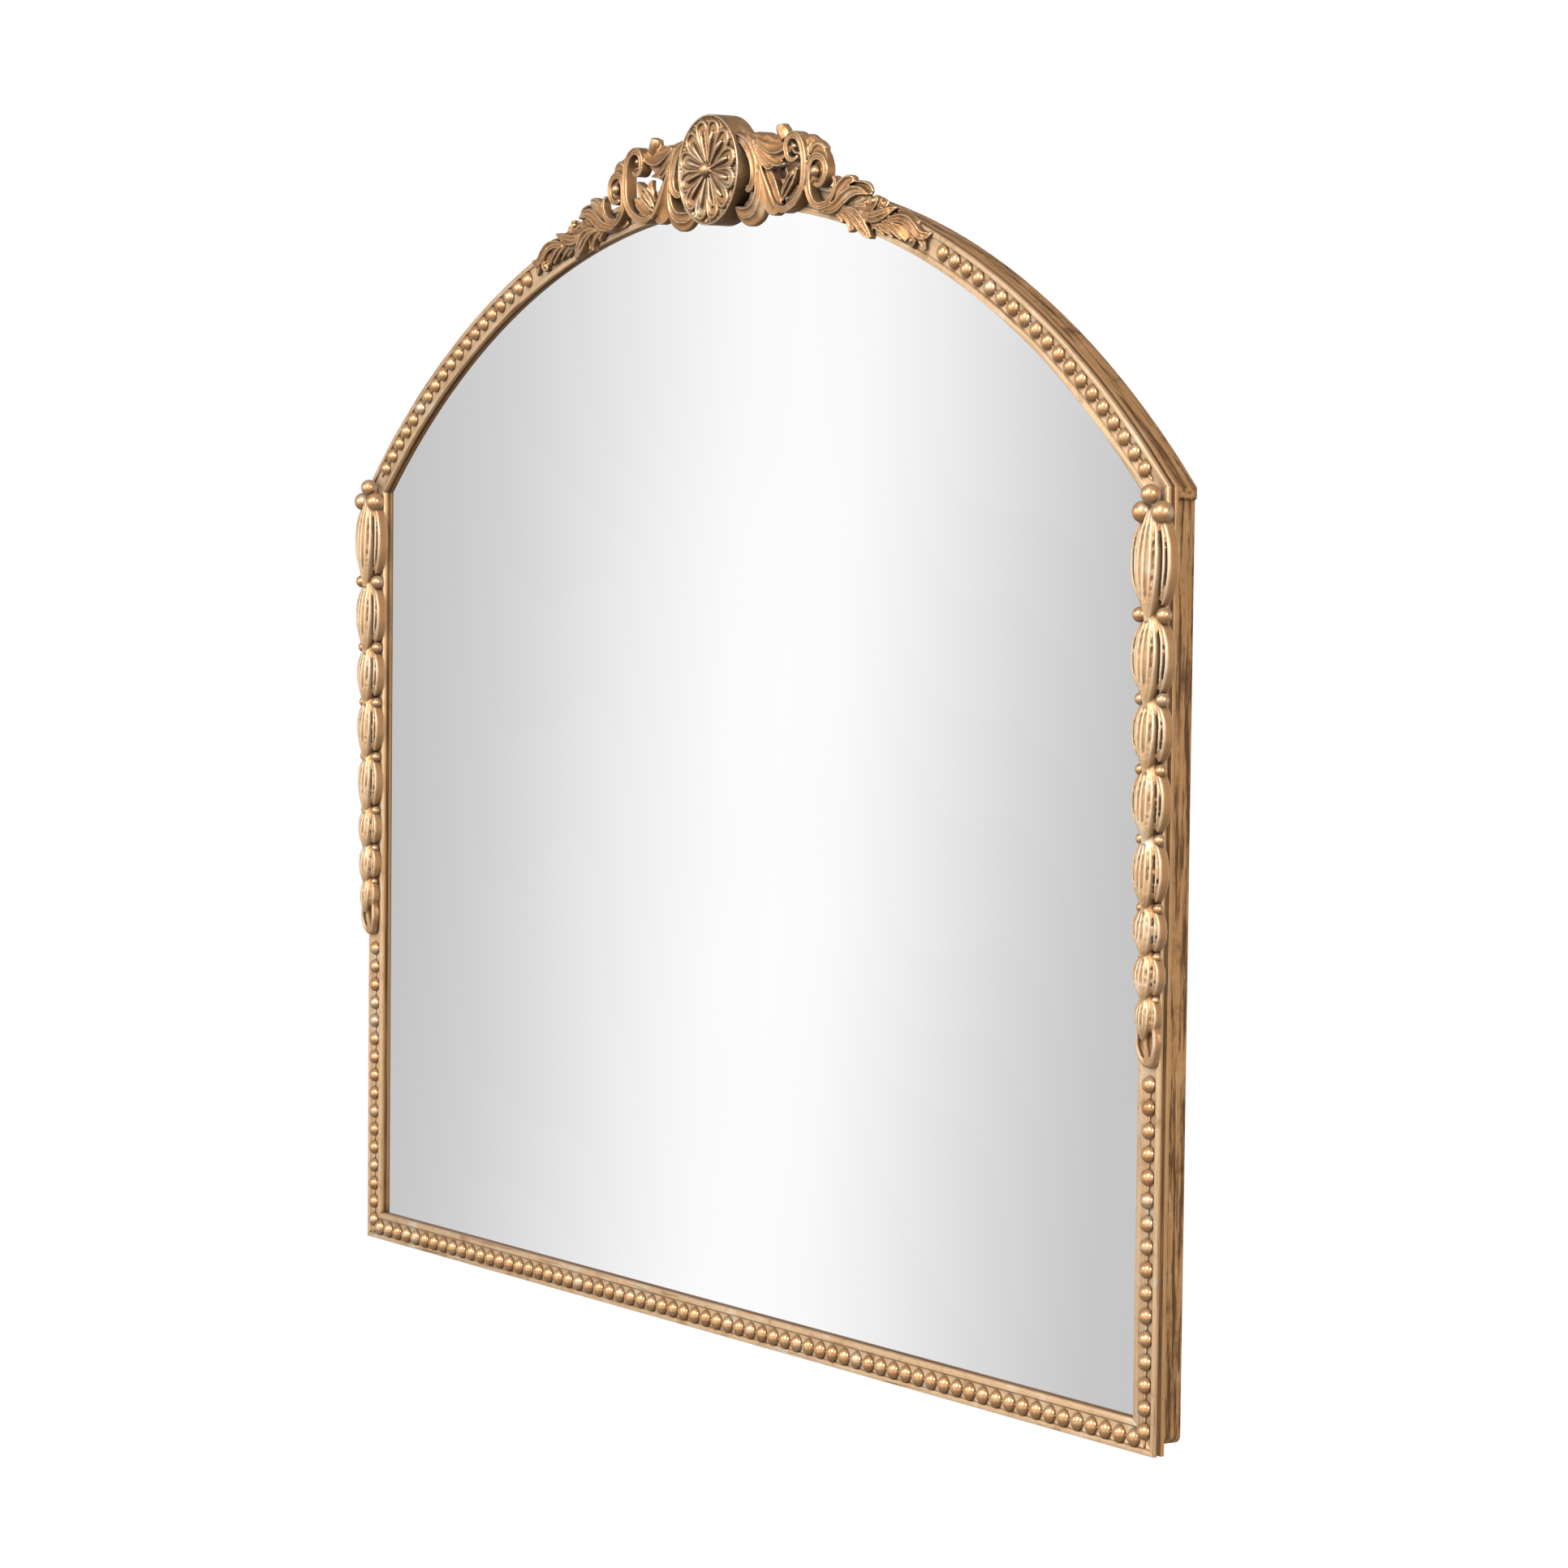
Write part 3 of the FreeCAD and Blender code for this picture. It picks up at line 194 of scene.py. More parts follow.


# %% [markdown]
# ## Gilding
#
# Water gilding is metal leaf over red-brown clay on wood. Here it is rubbed back and toned
# with an umber wash. So it has a warm, half-metallic sheen, cloudy patches where the wash
# stayed, brown wash with painted shade in the hollows, and pale gold on the edges, where
# polished wear and a painted highlight lie together. Ambient Occlusion finds the hollows:
# near ones get the wash and painted shade, deep ones painted shade alone. Pointiness finds
# the edges of the carving. Both belong to the shape, so they stay put when the camera moves.
# Streaks run along the flat members only, where the wash was wiped off with a cloth. The
# edges of the mouldings are darker and more orange, the husks have painted shade near the
# face, darker and more orange too, and the groove along an edge is full of wash.

# %% Coordinates and tints for gilding
CLOUD_MM = 22.2
GRIT_MM = 2.38    # true grit is finer, and is drawn as coarse as it needs to show
GRIT_DEPTH = 0.2
ARCH_RADIUS, ARCH_CENTRE = 747.77, 95.53    # the frame's outer edge, and its centre's height
EDGE_BACK, EDGE_FRONT = 16.5, 23.7    # the outer edge of a moulding, from the wall
FOOT_DEPTH = 10.0    # how far above the face a husk gets painted shade
GROOVE_WASH = "#5E4028"


def bend_round_arch(tree, where):
    """Coordinates whose X runs along the arch and whose Z runs out from its centre."""
    lifted = add(tree, "Mapping", {"Vector": where, "Location": (0, 0, -ARCH_CENTRE * MM)})
    spot = add(tree, "SeparateXYZ", {"Vector": lifted}).node.outputs
    turn = add(tree, "Math", {0: spot["X"], 1: spot["Z"]}, operation="ARCTAN2")
    arc = add(tree, "Math", {0: turn, 1: ARCH_RADIUS * MM}, operation="MULTIPLY")
    flat = add(tree, "CombineXYZ", {"X": spot["X"], "Z": spot["Z"]})
    reach = add(tree, "VectorMath", {0: flat}, "Value", operation="LENGTH")
    return add(tree, "CombineXYZ", {"X": arc, "Y": spot["Y"], "Z": reach})


def depth_share(tree, where, back, front):
    """From 0 to 1 between two distances from the wall."""
    spot = add(tree, "SeparateXYZ", {"Vector": where}, "Y")
    return add(tree, "MapRange", {"Value": spot, "From Min": -back * MM,
                                  "From Max": -front * MM})


def tint_edge(tree, where, colour, edge, wiped):
    """Darker, more orange colour on the outer edge of a moulding, and umber toning in its groove,
    broken by streaks.
    """
    share = depth_share(tree, where, EDGE_BACK, EDGE_FRONT)
    darker_orange_share = add(tree, "ValToRGB", {"Fac": share},
               stops=((0.0, 0.0), (0.02, 0.75), (0.97, 0.75), (1.0, 0.0)))
    colour = add(tree, "Mix", {0: darker_orange_share, 6: colour, 7: linear(edge)}, 2, data_type="RGBA")
    groove = add(tree, "ValToRGB", {"Fac": share},
                 stops=((0.37, 0.0), (0.43, 0.95), (0.76, 0.95), (0.82, 0.0)))
    broken = add(tree, "ValToRGB", {"Fac": wiped}, stops=((0.36, 0.45), (0.56, 1.0)))
    groove = add(tree, "Mix", {0: 1.0, 6: groove, 7: broken}, 2, data_type="RGBA",
                 blend_type="MULTIPLY")
    return add(tree, "Mix", {0: groove, 6: colour, 7: linear(GROOVE_WASH)}, 2, data_type="RGBA")


def tint_foot(tree, where, colour, foot):
    """Painted shade, darker and more orange, on the part of a carved piece that is near the face.
    """
    share = depth_share(tree, where, FRONT, FRONT + FOOT_DEPTH)
    darker_orange_share = add(tree, "ValToRGB", {"Fac": share}, stops=((0.0, 0.85), (0.55, 0.75), (0.85, 0.0)))
    return add(tree, "Mix", {0: darker_orange_share, 6: colour, 7: linear(foot)}, 2, data_type="RGBA")


# %% One gilded finish
# worn is how pale the pointy edges turn, rubbed wear and painted highlight together
def gilding(name, pale, gold, umber, wash_and_shade, streak=None, hollow_mm=5.0, deep_mm=18.0,
            deep_from=0.10, worn=0.0, wiped_from=0.46, sheen=0.36, metal=0.8, speckle=0.5,
            bowed=False, edge=None, foot=None):
    """Gold in clouds, streaked or specked with umber, pale rubbed edges with a painted highlight,
    toning and painted shade in hollows.
    """
    finish, tree, shader, where = new_finish(name)
    clouds = add(tree, "TexNoise", {"Vector": where, "Scale": waves(CLOUD_MM), "Detail": 6.0,
                                    "Roughness": 0.62})
    grit = add(tree, "TexNoise", {"Vector": where, "Scale": waves(GRIT_MM), "Detail": 3.0,
                                  "Roughness": 0.7})
    colour = add(tree, "ValToRGB", {"Fac": clouds}, stops=(
        (0.22, linear(umber)), (0.44, linear(gold)), (0.54, linear(gold)), (0.76, linear(pale))))
    if streak:
        way = bend_round_arch(tree, where) if bowed else where
        along = add(tree, "Mapping", {"Vector": way, "Scale": streak})
        wiped = add(tree, "TexNoise", {"Vector": along, "Scale": 1.0, "Detail": 6.0,
                                       "Roughness": 0.7})
        lines = add(tree, "ValToRGB", {"Fac": wiped},
                    stops=((wiped_from, 0.0), (wiped_from + 0.10, 0.9)))
        colour = add(tree, "Mix", {0: lines, 6: colour, 7: linear(umber)}, 2, data_type="RGBA")
        if edge:
            colour = tint_edge(tree, where, colour, edge, wiped)
    # Painted shade on a husk near the face, darker and more orange
    if foot:
        colour = tint_foot(tree, where, colour, foot)
    specks = add(tree, "ValToRGB", {"Fac": grit}, stops=((0.60, 0.0), (0.72, speckle)))
    colour = add(tree, "Mix", {0: specks, 6: colour, 7: linear(umber)}, 2, data_type="RGBA")
    # Pointy edges turn pale: rubbed wear and a painted highlight together
    if worn:
        corners = add(tree, "NewGeometry", out="Pointiness")
        rubbed_and_highlit = add(tree, "ValToRGB", {"Fac": corners}, stops=((0.506, 0.0), (0.56, worn)))
        colour = add(tree, "Mix", {0: rubbed_and_highlit, 6: colour, 7: linear(pale)}, 2,
                     data_type="RGBA")
    # Near hollows get brown wash and painted shade together, found by ambient occlusion
    near = add(tree, "AmbientOcclusion", {"Distance": hollow_mm * MM}, "AO", samples=8)
    toned_and_shaded = add(tree, "ValToRGB", {"Fac": near}, stops=((0.28, 1.0), (0.62, 0.62), (0.92, 0.0)))
    patina_and_shade = add(tree, "ValToRGB", {"Fac": clouds},
                 stops=((0.42, linear(umber)), (0.60, linear(wash_and_shade))))
    colour = add(tree, "Mix", {0: toned_and_shaded, 6: colour, 7: patina_and_shade}, 2, data_type="RGBA")
    # Deeper hollows and recesses are darkened by painted shade, multiplied into the colour
    deep = add(tree, "AmbientOcclusion", {"Distance": deep_mm * MM}, "AO", samples=8)
    painted_shade = add(tree, "ValToRGB", {"Fac": deep}, stops=(
        (deep_from, 0.12), (deep_from + 0.30, 0.55), (deep_from + 0.65, 1.0)))
    colour = add(tree, "Mix", {0: 1.0, 6: colour, 7: painted_shade}, 2, data_type="RGBA",
                 blend_type="MULTIPLY")
    tree.links.new(colour, shader.inputs["Base Color"])
    dull = add(tree, "ValToRGB", {"Fac": clouds}, stops=((0.3, sheen), (0.7, sheen + 0.12)))
    tree.links.new(dull, shader.inputs["Roughness"])
    shader.inputs["Metallic"].default_value = metal
    relief = add(tree, "Bump", {"Height": grit, "Strength": 0.3, "Distance": GRIT_DEPTH * MM})
    tree.links.new(relief, shader.inputs["Normal"])
    return finish


# %% Gilding on the carving and the beads
# Of each finish: pale, gold and umber, then the colour of wash and painted shade in the hollows
crest_gold = gilding("water gilding on the crest, toned", "#FFE2BA", "#E2A871", "#6A4124",
                     "#3E2C20", hollow_mm=3.6, deep_mm=16.0, worn=0.8, sheen=0.30, metal=0.85,
                     speckle=0.3)
# The flower's deeper painted shade reaches far, so the side wall of its block is dark
boss_gold = gilding("water gilding on the flower, toned", "#FFE6C4", "#DDA874", "#7A5232",
                    "#7E6046", hollow_mm=2.0, deep_mm=46.0, worn=0.8, sheen=0.30, metal=0.85,
                    speckle=0.3, deep_from=0.22)
# The husks' foot colour is painted shade near the face
drop_gold = gilding("water gilding on the husks, rubbed", "#FFF1D6", "#EDBD88", "#A06E42",
                    "#A27A54", hollow_mm=3.4, worn=0.85, metal=0.55, deep_from=0.09,
                    foot="#C98F58")
bead_gold = gilding("water gilding, burnished beads", "#FFE8C8", "#F8BF88", "#CC9058",
                    "#B09880", hollow_mm=1.4, deep_mm=4.0, sheen=0.19, metal=0.75,
                    speckle=0.2, deep_from=0.02)

# %% Gilding on the flat members
# Width and length of a line left by the cloth, on the face and on the sides
FACE_LINE = (3.03, 83.3)
SIDE_LINE = (3.125, 58.8)


def wiped_along(axis, line):
    """Waves of the cloth's lines on each axis, drawn out along one of them."""
    return tuple(waves(line[1] if letter == axis else line[0]) for letter in "XYZ")


# The hollows' colour in these holds wash and painted shade together
FACE = {"pale": "#FFF2DC", "gold": "#F2CA9C", "umber": "#A8784E", "wash_and_shade": "#94784F",
        "hollow_mm": 2.0, "deep_mm": 10.0, "wiped_from": 0.56, "sheen": 0.30, "metal": 0.55,
        "edge": "#D2975A"}
SIDE = {"pale": "#F2C48E", "gold": "#DCA56C", "umber": "#68452B", "wash_and_shade": "#5A4838",
        "hollow_mm": 3.0, "deep_mm": 10.0, "wiped_from": 0.48, "metal": 0.55}
upright_gold = gilding("water gilding wiped upwards", streak=wiped_along("Z", FACE_LINE),
                       **{**FACE, "gold": "#FFD4A2"})
level_gold = gilding("water gilding wiped sideways", streak=wiped_along("X", FACE_LINE), **FACE)
arch_gold = gilding("water gilding wiped round the arch", streak=wiped_along("X", FACE_LINE),
                    bowed=True, **FACE)
side_gold = gilding("gilding rubbed to the clay, upright", streak=wiped_along("Z", SIDE_LINE),
                    **SIDE)
rail_gold = gilding("gilding rubbed to the clay, level", streak=wiped_along("X", SIDE_LINE),
                    **SIDE)
arch_side_gold = gilding("gilding rubbed to the clay, round the arch",
                         streak=wiped_along("X", SIDE_LINE), bowed=True, **SIDE)
print("streaks on the face,", wiped_along("X", FACE_LINE), "waves to a metre")

# %% [markdown]
# ## Glass, board and metal
#
# The glass is 4 mm float glass with silver on its back: a perfect mirror, the least bit
# greyer in broad patches. The board behind is plain fibreboard, a fine brown fleck. Screws
# are zinc plated and the hangers are brass plated, so both are metals with a little brushed
# roughness.

# %% Glass, board and metal
SILVER_PATCH_MM, FLECK_MM = 500, 2.0
BRUSH_MM = 3.33    # true scratches are finer, and are drawn as coarse as they need to show
silvered_glass, tree, shader, where = new_finish("silvered float glass")
shader.inputs["Metallic"].default_value = 1.0
shader.inputs["Roughness"].default_value = 0.0
silvering = add(tree, "TexNoise", {"Vector": where, "Scale": waves(SILVER_PATCH_MM)})
faint = add(tree, "ValToRGB", {"Fac": silvering},
            stops=((0.3, linear("#FAFAFA")), (0.7, linear("#FFFFFF"))))
tree.links.new(faint, shader.inputs["Base Color"])

fibreboard, tree, shader, where = new_finish("fibreboard")
fleck = add(tree, "TexNoise", {"Vector": where, "Scale": waves(FLECK_MM), "Detail": 6.0})
board = add(tree, "ValToRGB", {"Fac": fleck},
            stops=((0.35, linear("#7A5C3E")), (0.65, linear("#A98862"))))
tree.links.new(board, shader.inputs["Base Color"])
shader.inputs["Roughness"].default_value = 0.75
rough = add(tree, "Bump", {"Height": fleck, "Strength": 0.3, "Distance": GRIT_DEPTH * MM})
tree.links.new(rough, shader.inputs["Normal"])


def plated(name, bright, dull):
    """A thin bright metal on steel, brushed dull in places."""
    finish, tree, shader, where = new_finish(name)
    scratches = add(tree, "TexNoise", {"Vector": where, "Scale": waves(BRUSH_MM),
                                       "Detail": 4.0})
    tone = add(tree, "ValToRGB", {"Fac": scratches},
               stops=((0.35, linear(dull)), (0.65, linear(bright))))
    tree.links.new(tone, shader.inputs["Base Color"])
    shader.inputs["Metallic"].default_value = 1.0
    haze = add(tree, "ValToRGB", {"Fac": scratches}, stops=((0.3, 0.22), (0.7, 0.38)))
    tree.links.new(haze, shader.inputs["Roughness"])
    return finish


zinc = plated("zinc plated steel", "#C9CCCB", "#A3A6A4")
brass = plated("brass plated steel", "#D9B768", "#B9924A")

# %% [markdown]
# ## Members of the frame
#
# The mouldings and the carrying frame are already right in the model, but every arris there
# is a knife edge. Real gesso rounds them, and the light that runs along a round edge is
# what makes a frame look gilded. Each member is copied, welded, bevelled by a fraction of a
# millimetre and shaded smooth below 35 degrees.

# %% Members of the frame
MOULDING_ARRIS, CARRIER_ARRIS = 0.5, 0.8
WELD_MM = 0.01


def softened(node, finish, arris):
    """A copy of a node, welded and with its arrises rounded."""
    pick(nodes[node])
    bpy.ops.object.duplicate()
    member = unmarked(bpy.context.object)
    member.name = node + "_gilded"
    bpy.ops.object.mode_set(mode="EDIT")
    bpy.ops.mesh.select_all(action="SELECT")
    bpy.ops.mesh.remove_doubles(threshold=WELD_MM * MM)
    bpy.ops.mesh.dissolve_limited(angle_limit=math.radians(0.3))
    bpy.ops.object.mode_set(mode="OBJECT")
    bevel = member.modifiers.new("arris", "BEVEL")
    bevel.width = arris * MM
    bevel.segments = 2
    bevel.limit_method = "ANGLE"
    bevel.angle_limit = math.radians(30)
    bpy.ops.object.modifier_apply(modifier=bevel.name)
    bpy.ops.object.shade_smooth_by_angle(angle=math.radians(35))
    member.data.materials.clear()
    member.data.materials.append(finish)
    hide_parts(node)
    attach(member, "frame")
    print(member.name, len(member.data.polygons), "faces")


for side in ("left", "right"):
    softened(f"{side}_stile_moulding", upright_gold, MOULDING_ARRIS)
    softened(f"arch_moulding_{side}", arch_gold, MOULDING_ARRIS)
    softened(f"subframe_stile_{side}", side_gold, CARRIER_ARRIS)
    softened(f"subframe_arch_{side}", arch_side_gold, CARRIER_ARRIS)
softened("bottom_rail_moulding", level_gold, MOULDING_ARRIS)
softened("subframe_rail", rail_gold, CARRIER_ARRIS)


def finished(node, finish):
    """A node kept as it is, in its finish."""
    nodes[node].data.materials.clear()
    nodes[node].data.materials.append(finish)


finished("mirror_glass", silvered_glass)
finished("back_panel", fibreboard)
for side in ("left", "right"):
    finished(f"hanger_strap_{side}", brass)
    finished(f"hanger_ring_{side}", brass)
for node in ("panel_screws", "hanger_screws", "crest_pins"):
    finished(node, zinc)

# %% [markdown]
# ## Drawing carved strands
#
# A carver thinks in strands: a leaf is a rib that swells and runs out to a point, a scroll
# is a strap that rolls up. Each strand here is a curve with a cross-section, drawn flat in
# millimetres as (across, up, rise above the face), with a width at each point. The strands
# of one piece are then joined and remeshed with small voxels, which melts them into one
# skin like the pressed composition of the real crest, and turned to stand on the face.

# %% Cross-sections
SECTIONS = {
    # A shallow trough between two soft rims, for straps
    "scoop": ((-0.50, -1.0), (-0.50, -0.08), (-0.45, 0.08), (-0.34, 0.06), (-0.18, -0.10),
              (0.18, -0.10), (0.34, 0.06), (0.45, 0.08), (0.50, -0.08), (0.50, -1.0)),
    # A leaf that slopes up to a rim on its right, looking along it, and one on its left
    "right_rim": ((-0.50, -1.0), (-0.50, -0.32), (-0.36, -0.26), (-0.05, -0.18),
                  (0.20, -0.06), (0.34, 0.12), (0.46, 0.12), (0.50, -0.02), (0.50, -1.0)),
    "left_rim": ((-0.50, -1.0), (-0.50, -0.02), (-0.46, 0.12), (-0.34, 0.12), (-0.20, -0.06),
                 (0.05, -0.18), (0.36, -0.26), (0.50, -0.32), (0.50, -1.0)),
    # A rib with a keel
    "keel": ((-0.50, -1.0), (-0.50, -0.25), (-0.28, -0.04), (0.0, 0.08), (0.28, -0.04),
             (0.50, -0.25), (0.50, -1.0)),
    # The full body of a husk
    "belly": ((-0.50, -1.0), (-0.50, -0.32), (-0.46, -0.12), (-0.36, 0.0), (-0.20, 0.06),
              (0.0, 0.08), (0.20, 0.06), (0.36, 0.0), (0.46, -0.12), (0.50, -0.32),
              (0.50, -1.0)),
}
section_curves = {}
for name, corners in SECTIONS.items():
    bpy.ops.curve.primitive_bezier_circle_add()
    outline = bpy.context.object
    outline.name = name + "_section"
    outline.data.splines.remove(outline.data.splines[0])
    loop = outline.data.splines.new("POLY")
    loop.points.add(len(corners) - 1)
    for point, (side, rise) in zip(loop.points, corners):
        point.co = (side * MM, rise * MM, 0, 1)
    loop.use_cyclic_u = True
    section_curves[name] = outline
print("cross-sections:", ", ".join(section_curves))

# %% Strands, balls and grounds
STRAND_FOOT = -0.5    # a little below the face, so that a strand sits in it


def spread_widths(widths, count):
    """Widths at every point, from a few given evenly along the strand."""
    if len(widths) == count:
        return widths
    values = []
    for step in range(count):
        place = step / (count - 1) * (len(widths) - 1)
        low = min(int(place), len(widths) - 2)
        values.append(widths[low] + (widths[low + 1] - widths[low]) * (place - low))
    return values


def strand(section, path, widths):
    """A strand along (across, up, rise) points, as wide as the widths, with its walls
    dropped straight down to the foot."""
    bpy.ops.object.select_all(action="DESELECT")
    bpy.ops.curve.primitive_bezier_curve_add()
    drawn = bpy.context.object
    spline = drawn.data.splines[0]
    spline.bezier_points.add(len(path) - 2)
    for point, spot, width in zip(spline.bezier_points, path, spread_widths(widths, len(path))):
        point.co = Vector(spot) * MM
        point.handle_left_type = point.handle_right_type = "AUTO"
        point.radius = width
    drawn.data.twist_mode = "Z_UP"
    drawn.data.resolution_u = 7
    drawn.data.bevel_mode = "OBJECT"
    drawn.data.bevel_object = section_curves[section]
    drawn.data.use_fill_caps = True
    bpy.ops.object.convert(target="MESH")
    strip = bpy.context.object
    points = strip.data.vertices
    ring = len(SECTIONS[section])
    for first in range(0, len(points), ring):
        for low, high in ((first, first + 1), (first + ring - 1, first + ring - 2)):
            points[low].co = points[high].co
            points[low].co.z = STRAND_FOOT * MM
    return strip


def pearl(across, up, rise, radius, flat=1.0):
    """A ball of the ornament, its centre at the rise."""
    bpy.ops.object.select_all(action="DESELECT")
    bpy.ops.mesh.primitive_uv_sphere_add(segments=24, ring_count=16, radius=radius * MM,
                                         location=(across * MM, up * MM, rise * MM))
    bpy.ops.transform.resize(value=(1, 1, flat))
    return bpy.context.object


def plate(path, low, high):
    """A flat ground through (across, up) points, between two rises."""
    bpy.ops.object.select_all(action="DESELECT")
    bpy.ops.curve.primitive_bezier_circle_add()
    ground = bpy.context.object
    ground.data.dimensions = "2D"
    ground.data.fill_mode = "BOTH"
    spline = ground.data.splines[0]
    spline.bezier_points.add(max(0, len(path) - 4))
    for point, (x, y) in zip(spline.bezier_points, path):
        point.co = (x * MM, y * MM, 0)
        point.handle_left_type = point.handle_right_type = "AUTO"
    ground.data.extrude = (high - low) / 2 * MM
    ground.location.z = (high + low) / 2 * MM
    bpy.ops.object.convert(target="MESH")
    return bpy.context.object


def both_sides(half):
    """A path through the half's points and on through their mirror images."""
    return [*half, *((-x, *rest) for x, *rest in reversed(half[:-1]))]


# %% Melting, dressing and mirroring
VOXEL_MM = 0.7
# Turns a piece drawn flat, with its rise along Z, to stand on the face of the frame
STAND = Matrix(((1, 0, 0, 0), (0, 0, -1, -FRONT * MM), (0, 1, 0, 0), (0, 0, 0, 1)))


def dress(piece, name, finish, replaced):
    """Gives a piece its name, its finish and its place on the model."""
    piece.name = piece.data.name = name
    piece.data.materials.clear()
    piece.data.materials.append(finish)
    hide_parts(*replaced)
    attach(piece, "frame")
    print(name, len(piece.data.polygons), "faces")


def melted(parts, name, finish, replaced, voxel_mm=VOXEL_MM, rubs=2):
    """The parts as one skin, stood on the face of the frame."""
    piece = joined(parts)
    bpy.ops.object.transform_apply(location=True, rotation=True, scale=True)
    skin = piece.modifiers.new("melt", "REMESH")
    skin.mode = "VOXEL"
    skin.voxel_size = voxel_mm * MM
    bpy.ops.object.modifier_apply(modifier=skin.name)
    soft = piece.modifiers.new("soft", "SMOOTH")
    soft.factor = 0.5
    soft.iterations = rubs
    bpy.ops.object.modifier_apply(modifier=soft.name)
    piece.data.transform(STAND)
    bpy.ops.object.shade_smooth()
    dress(piece, name, finish, replaced)
    return piece


def twin(piece, name, finish, replaced):
    """The left-hand copy of a right-hand piece."""
    copy = unmarked(copied(piece, Matrix.Scale(-1, 4, (1, 0, 0))))
    copy.data.flip_normals()
    dress(copy, name, finish, replaced)


# %% [markdown]
# ## Beads
#
# The channel holds a row of pressed beads, oval domes 12.4 mm across and 11.4 mm long that
# draw in a little at their lower end, with a thin link from each to the next. One bead is
# modelled from a coarse sphere: the half that would lie in the wood is cut away, the dome is
# narrowed towards its end and a slim ball is joined on as the link. The 138 beads are copies
# of it, each row joined to one piece.

# %% One bead
CHANNEL_FLOOR = -1.5    # from the face
BEAD_PITCH = 15.17
BEAD_HALF_WIDTH, BEAD_HALF_LENGTH, BEAD_HEIGHT = 6.2, 5.7, 4.8
CUT_SHARE = 0.1    # of the height, left below the sphere's middle
NARROW_FROM_SHARE, NARROW_SHARE = 0.4, 0.3
LINK_HALF_WIDTH, LINK_HALF_LENGTH, LINK_HEIGHT, LINK_RISE = 0.9, 3.6, 1.0, 0.5


def make_bead():
    """A bead and the link at its lower end, drawn flat about the bead's middle."""
    bpy.ops.object.select_all(action="DESELECT")
    bpy.ops.mesh.primitive_uv_sphere_add(segments=16, ring_count=10, radius=1)
    dome = bpy.context.object
    bpy.ops.object.mode_set(mode="EDIT")
    bpy.ops.mesh.select_all(action="SELECT")
    bpy.ops.mesh.bisect(plane_co=(0, 0, -CUT_SHARE), plane_no=(0, 0, 1), clear_inner=True,
                        use_fill=True)
    bpy.ops.object.mode_set(mode="OBJECT")
    dome.data.transform(Matrix.Diagonal(
        (BEAD_HALF_WIDTH * MM, BEAD_HALF_LENGTH * MM, BEAD_HEIGHT * MM, 1)))
    for vertex in dome.data.vertices:
        vertex.co.z += CUT_SHARE * BEAD_HEIGHT * MM
        share = max(0.0, -vertex.co.y / (BEAD_HALF_LENGTH * MM) - NARROW_FROM_SHARE)
        vertex.co.x *= 1 - NARROW_SHARE * share / (1 - NARROW_FROM_SHARE)
    bpy.ops.mesh.primitive_uv_sphere_add(
        segments=8, ring_count=6, radius=1,
        location=(0, -BEAD_PITCH / 2 * MM, LINK_RISE * MM))
    link = bpy.context.object
    link.scale = (LINK_HALF_WIDTH * MM, LINK_HALF_LENGTH * MM, LINK_HEIGHT * MM)
    whole = joined([dome, link])
    whole.data.shade_smooth()
    return whole


bead = make_bead()


def bead_row(name, spots, replaced):
    """Copies of the bead at (x, z, turn) spots."""
    pieces = []
    for x, z, turn in spots:
        pieces.append(copied(
            bead,
            Matrix.Translation((x * MM, -(FRONT + CHANNEL_FLOOR) * MM, z * MM))
            @ Matrix.Rotation(turn, 4, "Y") @ Matrix.Rotation(math.pi / 2, 4, "X")))
    dress(joined(pieces), name, bead_gold, [replaced])


# %% Rows of beads
HALF_WIDTH, SPRING = 533.0, 620.0    # of the frame, and the height where its arch starts
# Of each row: the line of its middles, the place of its first bead, and how many there are
STILE_LINE, STILE_FIRST, STILE_BEADS = 522.5, 3.8, 16
ARCH_INSET, ARCH_FIRST, ARCH_BEADS = 9.7, 25.2, 19
ARCH_LINE = ARCH_RADIUS - ARCH_INSET
RAIL_LINE, RAIL_REACH, RAIL_BEADS = -1.8, 511.7, 68
for side, sign in (("right", 1), ("left", -1)):
    bead_row(f"beads_{side}",
             [(sign * STILE_LINE, STILE_FIRST + BEAD_PITCH * step, 0.0)
              for step in range(STILE_BEADS)],
             f"bead_row_{side}")
    arch_start = math.atan2(HALF_WIDTH, SPRING - ARCH_CENTRE)
    spots = []
    for step in range(ARCH_BEADS):
        turn = arch_start - (ARCH_FIRST + BEAD_PITCH * step) / ARCH_LINE
        spots.append((sign * ARCH_LINE * math.sin(turn), ARCH_CENTRE + ARCH_LINE * math.cos(turn),
                      sign * (turn - math.pi / 2)))
    bead_row(f"beads_arch_{side}", spots, f"bead_row_arch_{side}")
bead_row("beads_bottom",
         [(-RAIL_REACH + 2 * RAIL_REACH / (RAIL_BEADS - 1) * step, RAIL_LINE, math.pi / 2)
          for step in range(RAIL_BEADS)],
         "bead_row_bottom")
bpy.data.objects.remove(bead)

# %% [markdown]
# ## Husk drops
#
# Eight bellflower husks hang below each other, each smaller than the one above, with a pair
# of balls at every waist. A husk has one leaf in front, with five fine ridges, that runs down
# to a point, and a leaf each side, two ridges with a slot between them, that bows out behind
# it. It is drawn once at its largest size and copied, because the carver's husks are all
# alike but for their size.

# %% One husk
HUSK_WIDTH, HUSK_LENGTH = 42.0, 74.0
HUSK_GROUND = 2.4
